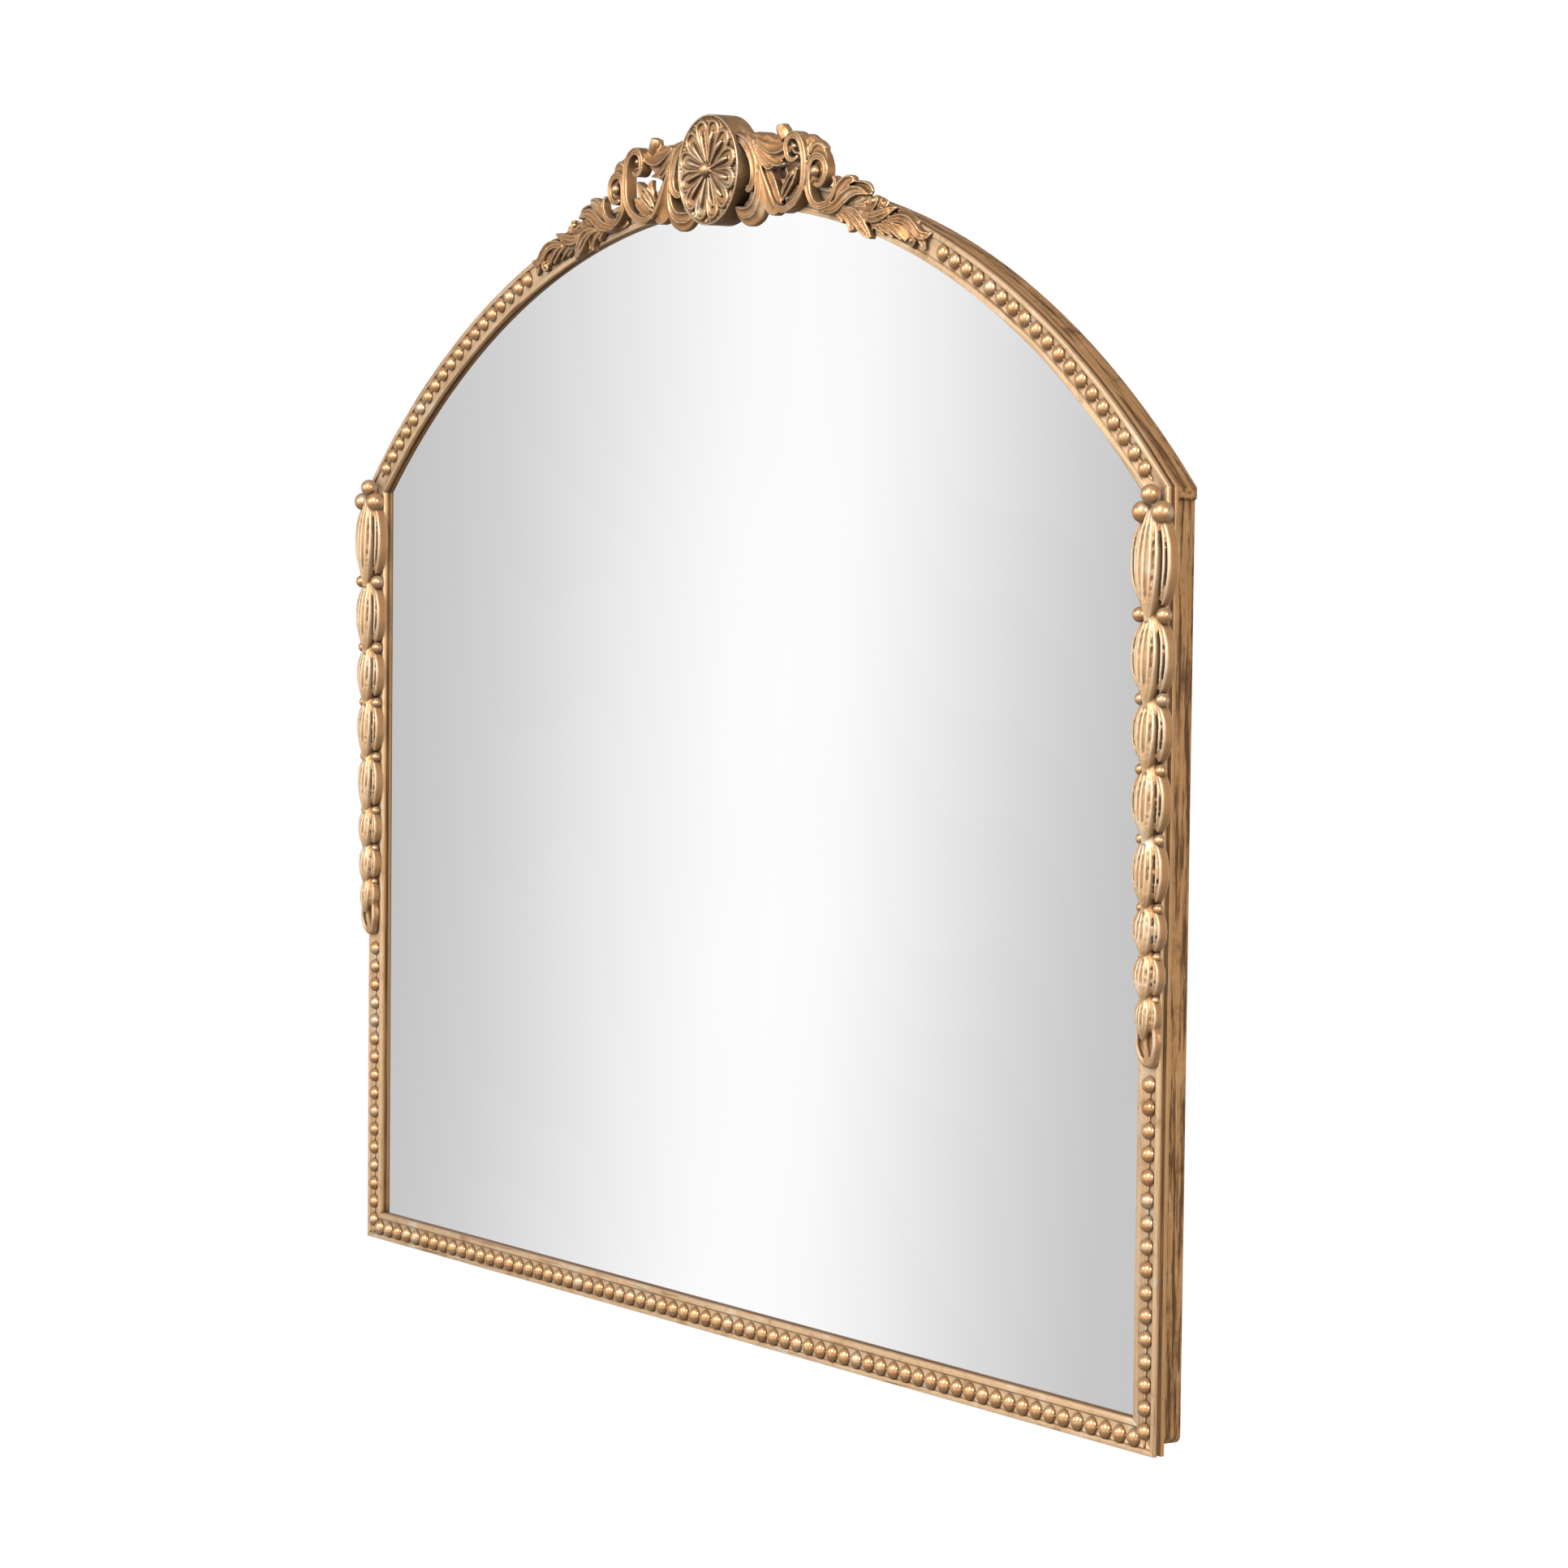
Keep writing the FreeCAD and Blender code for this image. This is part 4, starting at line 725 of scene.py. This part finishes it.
# Ridges right of the middle, from the front leaf outwards: points from the husk's top, widths
HUSK_RIDGES = (
    (((2.0, -1, 8.6), (4.8, -18, 12.2), (6.0, -38, 13.8), (4.4, -58, 13.2), (0.4, -76, 10.4)),
     (1.8, 2.4, 2.6, 2.5, 2.0)),
    (((3.4, -3, 7.4), (8.3, -18, 10.4), (10.3, -37, 11.8), (8.0, -56, 11.8), (1.6, -75, 9.8)),
     (2.0, 2.2, 2.4, 2.4, 2.0)),
    (((4.4, -3, 6.4), (12.4, -18, 8.0), (14.9, -36, 9.0), (13.0, -53, 8.4), (9.4, -63, 6.2)),
     (1.8, 2.0, 2.0, 1.8, 1.6)),
    (((5.0, -3, 5.6), (14.8, -15, 7.4), (19.4, -36, 8.2), (16.4, -55, 7.6), (9.6, -66, 5.4)),
     (2.2, 2.8, 3.0, 2.8, 2.0)),
)


def make_husk():
    """A husk of the largest size, its top at the middle."""
    parts = [
        plate([(0, 0), (10, -10), (19.5, -35), (15.5, -56), (8, -65), (0, -68), (-8, -65),
               (-15.5, -56), (-19.5, -35), (-10, -10)], 0, HUSK_GROUND),
        strand("belly", [(0, 1, 5.8), (0, -17, 8.9), (0, -37, 10.6), (0, -57, 10.6),
                         (0, -74, 9.0)], (8, 17, 22, 17, 4)),
        strand("keel", [(0, -2, 9.2), (0, -20, 12.8), (0, -40, 14.6), (0, -60, 14.2),
                        (0, -77, 11.4)], (1.8, 2.4, 2.8, 3.0, 3.0)),
    ]
    for side in (1, -1):
        parts += [strand("keel", [(side * x, y, rise) for x, y, rise in path], widths)
                  for path, widths in HUSK_RIDGES]
    return joined(parts)


husk = make_husk()

# %% The drop of husks
# Top, tip and width of each husk, and the balls at its foot: height, radius, spread
HUSKS = ((606, 535.5, 42), (538, 480, 39), (484, 437, 35.5), (441, 391, 34), (395, 346, 31),
         (350, 315.5, 29), (319, 287, 27), (291, 263, 22.5))
WAISTS = ((536.8, 5.2, 12.6), (482.4, 4.4, 11.2), (436.6, 4.1, 10.4), (391.6, 3.8, 9.6),
          (347, 3.5, 8.8), (315.6, 3.0, 7.4), (287.6, 2.8, 6.4))
DEPTH_SHARE = 0.45    # of a husk's lost width, that its depth loses too
# The tongue at the foot: its ground, its rim and its rib, from the middle of the drop
TONGUE_GROUND = both_sides(((-8.5, 268), (-9.2, 252), (-5, 244), (0, 242.6)))
TONGUE_RIM = both_sides(((-8, 270, 6), (-8.2, 254, 6.4), (0, 245.4, 5)))
TONGUE_RIB = ((0, 268, 8), (0, 258, 6.4), (0, 247, 5))
DROP_X = 525.2
DROP_VOXEL_MM = 0.76


def on_drop(path):
    """Points drawn from the middle of a drop, moved to the drop."""
    return [(DROP_X + x, *rest) for x, *rest in path]


parts = []
for top, tip, width in HUSKS:
    share = width / HUSK_WIDTH
    depth = 1 - DEPTH_SHARE * (1 - share)
    parts.append(copied(husk, Matrix.Translation((DROP_X * MM, top * MM, 0))
                        @ Matrix.Diagonal((share, (top - tip) / HUSK_LENGTH, depth, 1))))
bpy.data.objects.remove(husk)
parts.append(plate(on_drop(TONGUE_GROUND), 0, HUSK_GROUND))
parts.append(strand("keel", on_drop(TONGUE_RIM), (2.6, 3.0, 5.0, 3.0, 2.6)))
parts.append(strand("keel", on_drop(TONGUE_RIB), (3, 3.4, 6)))
drop = melted(parts, "husk_drop_right_carved", drop_gold,
              ["husk_drop_right"], DROP_VOXEL_MM, 1)
twin(drop, "husk_drop_left_carved", drop_gold, ["husk_drop_left"])

# %% Balls at the head and the waists of a drop
HEAD_BALL = (-1.2, 614.6, 7.0, 6.6)    # from the middle of the drop: across, up, rise, radius
SHOULDER_BALL = (10, 603, 6.0, 7.4)
parts = [pearl(DROP_X + HEAD_BALL[0], *HEAD_BALL[1:])]
for side in (1, -1):
    parts.append(pearl(DROP_X + side * SHOULDER_BALL[0], *SHOULDER_BALL[1:]))
    for height, radius, spread in WAISTS:
        parts.append(pearl(DROP_X + side * spread, height, radius, radius))
balls = joined(parts)
bpy.ops.object.transform_apply(location=True, rotation=True, scale=True)
balls.data.transform(STAND)
bpy.ops.object.shade_smooth()
dress(balls, "drop_balls_right", bead_gold, ["husk_drop_right"])
twin(balls, "drop_balls_left", bead_gold, ["husk_drop_left"])

# %% [markdown]
# ## The flower boss
#
# In the middle of the crest sits a thick round block with a flower of twelve petals. A petal
# is a hollow with a raised edge round its end and a club-shaped rib down its middle. One
# petal is drawn as strands and copied round the centre, and the egg in the middle covers
# the ends of the ribs. The block is a disc whose face is inset and lowered, so a rim stands
# round the flower, and a line of small pearls runs inside the rim.

# %% The round block
BOSS_UP, BOSS_RADIUS, BOSS_RISE = 849.0, 40.4, 38.6
BLOCK_BACK = 16.7    # from the wall, as its rise is
RIM_TOP, RIM_SLOPE, RIM_DEPTH, RIM_ROUND = 1.0, 1.6, 2.2, 0.9
FACING_UP = 0.9    # least upward part of a normal
bpy.ops.object.select_all(action="DESELECT")
bpy.ops.mesh.primitive_cylinder_add(
    vertices=128, radius=BOSS_RADIUS * MM, depth=(BOSS_RISE - BLOCK_BACK) * MM,
    location=(0, BOSS_UP * MM, ((BOSS_RISE + BLOCK_BACK) / 2 - FRONT) * MM))
block = bpy.context.object
bpy.ops.object.mode_set(mode="EDIT")
bpy.ops.mesh.select_all(action="DESELECT")
bpy.ops.object.mode_set(mode="OBJECT")
for face in block.data.polygons:
    face.select = face.normal.z > FACING_UP
bpy.ops.object.mode_set(mode="EDIT")
bpy.ops.mesh.inset(thickness=RIM_TOP * MM, depth=0.0)
bpy.ops.mesh.inset(thickness=RIM_SLOPE * MM, depth=0.0)
bpy.ops.transform.translate(value=(0, 0, -RIM_DEPTH * MM))
bpy.ops.object.mode_set(mode="OBJECT")
bevel = block.modifiers.new("worn rim", "BEVEL")
bevel.width = RIM_ROUND * MM
bevel.segments = 3
bevel.limit_method = "ANGLE"
bpy.ops.object.modifier_apply(modifier=bevel.name)

# %% The flower, its egg and the pearls
PETAL_ROOT = 2.4    # below the rim, a little under the block's lowered face
SEAT = BOSS_RISE - PETAL_ROOT - FRONT
GROUND_BELOW, GROUND_ABOVE = 1, 1.2
PETAL_GROUND = both_sides(((2.0, 6), (6.0, 20), (7.6, 29), (5.2, 35.4), (0, 37.4)))
# Rises of the edge and the rib are from the seat
PETAL_EDGE = both_sides(((1.6, 6, 0.8), (5.0, 19, 2.2), (6.5, 28, 3.0), (4.8, 34.2, 3.2),
                         (0, 36.2, 3.2)))
PETAL_RIB = ((0, 5, 2.6), (0, 14, 3.8), (0, 24, 4.6), (0, 28.8, 3.2))
PETALS = 12
EGG_RISE, EGG_RADIUS, EGG_FLAT = 3.2, 5.6, 0.95
PEARLS, PEARL_LINE, PEARL_RADIUS = 72, 37.6, 1.0
UNEVEN = 0.3    # how far the pearls stand up, and how much that varies
UNEVEN_TURN = 2.4    # from one pearl to the next
BOSS_VOXEL_MM = VOXEL_MM * 0.9


def on_seat(path):
    """Points whose rise is from the flower's seat, with the rise from the face."""
    return [(x, y, SEAT + rise) for x, y, rise in path]


petal = joined([
    plate(PETAL_GROUND, SEAT - GROUND_BELOW, SEAT + GROUND_ABOVE),
    strand("keel", on_seat(PETAL_EDGE), (1.0, 1.9, 2.6, 2.9, 3.0, 2.9, 2.6, 1.9, 1.0)),
    strand("belly", on_seat(PETAL_RIB), (1.6, 2.4, 3.9, 2.6)),
])
bpy.ops.object.transform_apply(location=True, rotation=True, scale=True)
parts = [block]
for step in range(PETALS):
    parts.append(copied(petal, Matrix.Translation((0, BOSS_UP * MM, 0))
                        @ Matrix.Rotation(math.tau * (step + 0.5) / PETALS, 4, "Z")))
bpy.data.objects.remove(petal)
parts.append(pearl(0, BOSS_UP, SEAT + EGG_RISE, EGG_RADIUS, EGG_FLAT))
for step in range(PEARLS):
    turn = math.tau * step / PEARLS
    parts.append(pearl(PEARL_LINE * math.sin(turn), BOSS_UP + PEARL_LINE * math.cos(turn),
                       SEAT + UNEVEN + UNEVEN * math.sin(step * UNEVEN_TURN), PEARL_RADIUS))
melted(parts, "crest_flower_boss", boss_gold,
       ["crest_boss", "crest_rosette", "crest_button"], BOSS_VOXEL_MM)

# %% [markdown]
# ## Crest scrolls and leaves
#
# Beside the boss a strap curls in like a C over a flared foot, leaves fan out from its
# shoulder, a U-shaped strap and a second rolled one follow, and a trail of acanthus leaves
# runs down the arch. The points are where each strand runs on the real crest, in
# millimetres from the mirror's middle and from its foot. Right-hand strands are drawn and
# melted, and the left side is their mirror image.

# %% Crest strands
# Of each strand: its section, its points and its widths
CREST = (
    # C strap beside the boss, rolled in at its end
    ("scoop", ((26, 872, 9), (35, 870.5, 9), (44, 866, 9.2), (51, 858.5, 9.2), (55, 849.5, 9),
               (55.5, 841, 9), (52, 835, 8.6), (47, 833, 8.2), (43.5, 834.5, 7.6)),
     (4, 6, 7.5, 8, 8, 7.5, 6.5, 5, 3.5)),
    # Foot: two flutes that sweep up into the shoulder
    ("left_rim", ((25, 821.5, 6.6), (33, 818.4, 7.2), (42, 816.8, 7.6), (51, 818.4, 8),
               (57.5, 824.5, 8.2), (60.5, 835, 8.4), (60, 846, 8.6), (56, 858, 8.8),
               (48, 868, 9)), (2, 5, 6.5, 7, 7, 6, 5, 4, 2)),
    ("left_rim", ((27, 818, 5.2), (35, 812, 5.8), (45, 809.8, 6.2), (54, 811.8, 6.6),
               (61, 818, 7), (64.5, 828, 7.4), (64, 840, 7.8), (61, 851, 8.2)),
     (2, 5.5, 7.5, 8, 7.5, 6, 4.5, 2)),
    # Shoulder: a thin rib, three leaves and the strip under the knob
    ("right_rim", ((46, 871.5, 8.6), (53, 864.5, 8.8), (59, 856, 8.6), (63, 848, 8.2)),
     (2, 4, 5, 3.5)),
    ("right_rim", ((53, 868.5, 8.8), (59, 860.5, 8.6), (66, 852.8, 8), (72, 848.2, 7.2),
               (79, 848.4, 6.4)), (2, 4.5, 6, 5.5, 2)),
    ("right_rim", ((57, 865.5, 8.4), (65, 858.4, 8), (73, 853, 7.2), (81, 850, 6.2),
               (90, 849, 5.2)), (2, 4.5, 6, 5, 1.5)),
    ("right_rim", ((57, 868.5, 8.6), (66, 863.5, 8.4), (75, 860.6, 7.8), (84, 860.6, 7.2),
               (91, 863.4, 6.8), (96.5, 868, 6.6)), (2, 5, 7.5, 9, 11, 6)),
    ("right_rim", ((40, 872.5, 6.4), (52, 870.6, 5.6), (64, 868.4, 4.6), (74, 868.2, 4),
               (83, 870, 4)), (3, 4, 5, 5.5, 5)),
    ("keel", ((90, 866, 6), (88, 870, 7), (85.5, 873.5, 7.4), (84.5, 877, 7.2)),
     (11, 12, 10.5, 8)),
    # Long leaf down the left of the U
    ("left_rim", ((58, 857, 8.4), (62.5, 846, 8), (66.5, 835.5, 7.6), (71.5, 826, 7.2),
               (78, 818.5, 6.8)), (2, 5, 7.5, 9.5, 6)),
    ("keel", ((62, 851, 8.8), (67, 842, 8.6), (73, 832.5, 8.4), (79, 823, 8.4),
              (85, 817.5, 8.6)), (2, 2.6, 3, 3.4, 3.4)),
    # U strap, rolled in at its upper end
    ("scoop", ((112, 853, 8.6), (106, 850.8, 9), (100.5, 852.5, 9.3), (98, 858, 9.5),
               (99.5, 864.5, 9.6), (105, 868.4, 9.6), (111.5, 867.4, 9.6), (117, 862.5, 9.6),
               (120.4, 854, 9.6), (121.2, 843, 9.6), (119.4, 832, 9.5), (113, 823.2, 9.4),
               (103, 817.8, 9.2), (92.5, 816, 9), (84.5, 819, 8.8)),
     (2.4, 3.4, 4.2, 4.8, 5, 5.4, 5.6, 5.8, 5.8, 5.8, 5.8, 5.6, 5.4, 5, 3.6)),
    ("keel", ((102.5, 863, 6.5), (102.5, 858.5, 6.5), (106, 856, 6.5), (112, 855.5, 6)),
     (2.2, 2.6, 2.6, 1.6)),
    # Leaves inside the U
    ("scoop", ((86, 823, 4.6), (92, 829.5, 5.6), (100, 837, 6.4), (108.5, 845.5, 6.4)),
     (4, 9, 11, 2)),
    ("keel", ((88, 826, 6.2), (96, 834, 7.6), (104, 841.5, 7.6)), (1.4, 2.2, 1.2)),
    ("right_rim", ((88, 830, 4), (93, 837.5, 4.8), (91.5, 846.5, 4.8)), (3, 6.5, 1.5)),
    ("right_rim", ((90, 821, 4), (99, 824, 5), (107, 829, 5.2), (114, 834, 4.8)), (4, 8, 8, 2)),
    # Outer volute round its ball, and the C strap that it runs into
    ("scoop", ((131.5, 833, 7.8), (137.5, 831.4, 7.8), (143, 834, 7.6), (146, 840, 7.5),
               (144.4, 847, 7.5), (138.5, 851.4, 7.7), (131.5, 851.3, 8), (126.5, 846.5, 8.3),
               (124.4, 839, 8.5), (124.6, 831, 8.5), (127.5, 823.5, 8.3), (133.5, 817.8, 8),
               (141, 816.4, 7.6), (149, 819, 7.2), (155, 825, 7), (157, 831.5, 6.8),
               (154, 837, 6.6)),
     (2.6, 3.8, 4.6, 5, 5.2, 5.4, 5.6, 6.4, 7, 6.8, 6, 5.2, 5, 4.8, 4.4, 3.6, 2.4)),
    # Frill above the volute
    ("keel", ((124, 861.5, 6), (122.6, 856, 6.6), (123.6, 851, 7)), (2.4, 3, 2.4)),
    ("keel", ((125, 854.5, 6.6), (129, 859.4, 6.6), (135.5, 860.6, 6), (142, 857, 5.2)),
     (2.6, 3.4, 3.6, 2.6)),
    ("keel", ((116, 866.4, 4.4), (123, 865.8, 4.6), (130, 862.4, 4.4), (136, 860.6, 3.8)),
     (4, 5, 5, 4)),
)

# %% Strands of the trail down the arch
CREST_TRAIL = (
    # Two long upper leaves
    ("scoop", ((137, 818, 6.4), (149, 817.4, 6.6), (158, 822.6, 6.4), (165, 829, 6),
               (171.5, 832.8, 5.6), (177.5, 833.4, 5.2)), (3, 6, 9, 9.5, 7, 3.5)),
    ("scoop", ((137, 814.5, 7), (148, 813.4, 7.4), (158, 815.2, 7.4), (168, 820.6, 7),
               (177, 824.6, 6.6), (186, 825, 6), (195, 822.3, 5.2)),
     (2, 4.5, 7, 8, 7, 4.5, 1.2)),
    ("scoop", ((158, 829, 3), (168, 829.5, 2.8), (180, 828.6, 2.4), (192, 827, 2),
               (197, 823, 1.6)), (4, 7, 7, 6, 3)),
    ("scoop", ((172, 817, 3.6), (180, 820.2, 3.6), (189, 820.6, 3.2)), (2.5, 4, 1.6)),
    # Flutes that curl up round the small ball
    ("right_rim", ((169, 814, 5), (181, 816.8, 4.8), (192, 817, 4.2)), (2, 3.6, 1.6)),
    ("right_rim", ((171, 812.4, 5.2), (185, 813.8, 5.2), (196, 812, 5), (203.5, 814, 4.8),
               (205.6, 818.5, 4.6), (202.6, 820.8, 4.4)), (2, 3.6, 3.6, 3.2, 2.6, 1.6)),
    ("right_rim", ((183, 811, 4.8), (196, 808.6, 4.8), (206.5, 810, 4.4), (212, 816.6, 3.8)),
     (2, 4, 4, 1.6)),
    ("right_rim", ((195, 807.6, 4.4), (207, 807.8, 4.2), (215, 813, 3.4)), (2, 3.6, 1.6)),
    ("right_rim", ((196, 817, 2.4), (207, 816.6, 2.4), (216, 815, 2)), (5, 6, 3)),
    # Big lower leaves and their lobes
    ("scoop", ((188, 810.4, 5.8), (199, 806.2, 6.2), (209.5, 806.4, 6), (219, 808.8, 5.4),
               (230, 811.6, 4.6)), (2, 6, 7, 5.5, 1.2)),
    ("scoop", ((165, 812.6, 6.2), (175, 811.4, 6.8), (183, 807.4, 7), (190, 801, 6.6),
               (195.4, 795.6, 6), (199.6, 791.6, 5.2)), (2, 5.5, 9, 9, 6.5, 1.6)),
    ("scoop", ((154, 812, 5.4), (161.5, 809.8, 5.4), (165.6, 804.5, 4.8)), (2, 5, 4)),
    ("scoop", ((160, 812, 5.6), (168.6, 808.6, 5.8), (174.4, 803, 5.4), (176, 797, 4.8)),
     (2, 4.6, 5.6, 5)),
    ("keel", ((168, 812.4, 6.6), (176, 810.6, 7.4), (184, 806.4, 7.6), (191, 800, 7),
              (197, 793.6, 5.8)), (1.4, 2, 2, 1.8, 1)),
    ("keel", ((192, 809, 6), (201, 806, 6.8), (211, 807, 6.6), (222, 809.6, 5.6)),
     (1.4, 2, 2, 1.2)),
    # Fringe along the lower edge
    ("right_rim", ((199, 803.6, 4.6), (206, 799.2, 4.4), (214, 793.6, 3.4)), (2, 3.6, 1.2)),
    ("right_rim", ((205, 803.4, 4.8), (213.5, 799, 4.6), (224, 791.4, 3.4)), (2, 4.2, 1.2)),
    ("right_rim", ((213, 803.4, 4.8), (222.5, 799.4, 4.8), (229.5, 794.4, 4.2), (235, 788.8, 3.2)),
     (2, 4.4, 4.4, 1.4)),
    ("right_rim", ((221, 803.4, 4.8), (231, 799, 4.8), (237.5, 793, 4.2), (240.6, 788, 3.4)),
     (2, 5, 5, 2)),
    ("right_rim", ((214, 805.6, 3.4), (224, 806.4, 3.2), (233, 804.8, 2.4)), (2, 3.4, 1.4)),
    # End of the trail: a band that forks, and a curl round the last ball
    ("scoop", ((220, 803, 4.6), (232, 804, 4.8), (243, 801.6, 4.8), (250, 797, 4.6),
               (255, 792.8, 4.2), (260, 790.8, 3.6), (265, 791, 3), (269, 792.6, 2.2)),
     (3, 5, 6.4, 6.4, 5.6, 5, 3.6, 1.2)),
    ("scoop", ((243, 800.4, 4.4), (248, 795.4, 4.2), (250.6, 790.4, 4), (249.8, 786.2, 3.6),
               (246.6, 784.8, 3.4), (244.2, 787.6, 3.2)), (3, 3.6, 3.4, 2.8, 2.2, 1.6)),
    ("scoop", ((252, 796, 4), (256.4, 791, 3.6), (259.4, 786, 3), (261.6, 780.5, 2.2)),
     (3, 4.4, 4.6, 1.4)),
    ("keel", ((228, 807.5, 2), (242, 805, 2), (254, 800, 1.6)), (3.4, 4.4, 2.4)),
)

# %% Balls and grounds of the crest
TRAIL_FULLNESS = 1.25    # leaves of the trail lap over each other
# Of each ball: across, up, rise and radius
CREST_PEARLS = ((134.8, 841.4, 7.6, 4.3), (247, 788, 2.6, 2.1), (202.2, 817.4, 4, 2.0),
                (106.2, 860.6, 6.6, 2.3))
# Grounds between the strands, where the moulded crest is closed behind its leaves, each
# with its lower and its upper rise
CREST_GROUNDS = (
    (((30, 873), (50, 872.5), (64, 868), (70, 850), (80, 835), (85, 817), (70, 814),
      (60, 832), (57, 848), (50, 861), (40, 869)), -2, 5),
    (((58, 826), (66, 824), (62, 812), (50, 807.5), (36, 810), (28, 817), (42, 815),
      (52, 817)), 0, 4),
    (((44, 872), (62, 871), (80, 869.5), (92, 868.5), (90, 861), (80, 855), (70, 847),
      (60, 850)), -12, 0.5),
    (((60, 852), (96, 866), (98, 852), (92, 842), (84, 836), (64, 836)), -12, -8),
    (((60, 869), (80, 867), (95, 867), (94, 858), (84, 851), (72, 849), (62, 856)), 0, 4.5),
    (((121, 866), (130, 861), (141, 857), (147, 848), (148, 840), (144, 834), (130, 834),
      (122, 846)), 0, 5.2),
    (((128, 817), (141, 814), (155, 818), (164, 828), (176, 831), (190, 823), (205, 816),
      (216, 812), (229, 807), (242, 803), (254, 796), (259, 789), (250, 788), (238, 791),
      (226, 795), (213, 797), (200, 798), (187, 803), (175, 806), (160, 809), (140, 811)),
     -1, 2.0),
)

# %% The crest melted together
parts = [strand(section, path, widths) for section, path, widths in CREST]
parts += [strand(section, path, [width * TRAIL_FULLNESS for width in widths])
          for section, path, widths in CREST_TRAIL]
parts += [pearl(*spot) for spot in CREST_PEARLS]
parts += [plate(path, low, high) for path, low, high in CREST_GROUNDS]
crest = melted(parts, "crest_carving_right", crest_gold,
               ["crest_fan_right", "crest_volute_right", "crest_garland_right"])
twin(crest, "crest_carving_left", crest_gold,
     ["crest_fan_left", "crest_volute_left", "crest_garland_left"])
for outline in section_curves.values():
    bpy.data.objects.remove(outline)

# %% [markdown]
# ## Studio
#
# The photograph is a white cut-out with soft light from all round. The world is white where
# the camera looks straight at it. Where metal and glass look at it, it is a pale backdrop
# with a broad light band, which is what the mirror shows. To everything else it is an even
# grey. Three softboxes give the gilding its shape. The floor is far below, since the mirror
# hangs.

# %% Backdrop
BAND_LEAN = -0.05
ROOM_GREY = [0.45, 0.45, 0.45, 1]
WHITE = [1, 1, 1, 1]
world = bpy.data.worlds.new("studio")
bpy.context.scene.world = world
world.use_nodes = True
tree = world.node_tree
background = tree.nodes["Background"]
way = add(tree, "TexCoord", out="Generated")
look = add(tree, "SeparateXYZ", {"Vector": way}).node.outputs
bearing = add(tree, "Math", {0: look["Y"], 1: look["X"]}, operation="ARCTAN2")
lean = add(tree, "Math", {0: look["Z"], 1: BAND_LEAN, 2: bearing}, operation="MULTIPLY_ADD")
# Bearings in radians are spread over the ramp's 0 to 1 range
spread_way = add(tree, "MapRange", {"Value": lean, "From Min": -math.pi, "From Max": 0.0,
                                    "To Min": 0.0, "To Max": 1.0})
light_band = add(tree, "ValToRGB", {"Fac": spread_way}, stops=(
    (0.0, 0.30), (0.12, 0.42), (0.1612, 0.558), (0.1689, 0.680), (0.1777, 0.880),
    (0.1832, 0.98), (0.187, 1.0), (0.191, 0.98), (0.1953, 0.896), (0.2041, 0.701),
    (0.2101, 0.584), (0.30, 0.45), (0.50, 1.0), (0.68, 0.55), (0.84, 0.95), (1.0, 0.40)))
# Bright above and dark below, and even over the heights that the glass shows
height = add(tree, "MapRange", {"Value": look["Z"], "From Min": -1.0, "From Max": 1.0})
height_tone = add(tree, "ValToRGB", {"Fac": height}, stops=(
    (0.10, 0.10), (0.30, 0.32), (0.38, 1.0), (0.58, 1.0), (0.68, 0.45), (0.90, 0.60)))
light_band = add(tree, "Mix", {0: 1.0, 6: light_band, 7: height_tone}, 2, data_type="RGBA",
                 blend_type="MULTIPLY")
ray = add(tree, "LightPath").node.outputs
seen = add(tree, "Mix", {0: ray["Is Camera Ray"], 6: ROOM_GREY, 7: WHITE}, 2,
           data_type="RGBA")
mirrored = add(tree, "Mix", {0: ray["Is Glossy Ray"], 6: seen, 7: light_band}, 2,
               data_type="RGBA")
tree.links.new(mirrored, background.inputs["Color"])
background.inputs["Strength"].default_value = 1.0

# %% Softboxes and floor
# Name, place, size and power of each softbox, in metres and watts
SOFTBOXES = (("softbox_front", (1.6, -3.2, 2.6), 2.2, 104),
             ("softbox_left", (-1.4, -3.4, 1.5), 1.8, 22),
             ("softbox_right", (3.6, -0.2, 1.8), 1.6, 34))
MIRROR_MIDDLE = Vector((0, 0, 0.45))
FLOOR_SIZE, FLOOR_HEIGHT = 6.0, -0.9
for name, place, size, power in SOFTBOXES:
    bpy.ops.object.light_add(type="AREA", location=place)
    lamp = bpy.context.object
    lamp.name = name
    lamp.data.size = size
    lamp.data.energy = power
    aim = MIRROR_MIDDLE - Vector(place)
    lamp.rotation_euler = aim.to_track_quat("-Z", "Y").to_euler()
    print(name, round(aim.length, 2), "m from the mirror")

bpy.ops.object.select_all(action="DESELECT")
bpy.ops.mesh.primitive_plane_add(size=FLOOR_SIZE, location=(0, 0, FLOOR_HEIGHT))
floor = bpy.context.object
floor.name = "studio_floor"
paper, tree, shader, where = new_finish("matt paper floor")
shader.inputs["Base Color"].default_value = linear("#E8E8E8")
shader.inputs["Roughness"].default_value = 0.9
glow = add(tree, "Emission", {"Color": WHITE, "Strength": 1.0})
camera_ray = add(tree, "LightPath", out="Is Camera Ray")
sheet = add(tree, "MixShader", {"Fac": camera_ray, 1: shader.outputs["BSDF"], 2: glow})
tree.links.new(sheet, tree.nodes["Material Output"].inputs["Surface"])
floor.data.materials.append(paper)

# The studio picture shows nothing but the backdrop in the glass
for item in bpy.context.scene.objects:
    if item.type == "MESH":
        item.visible_glossy = False
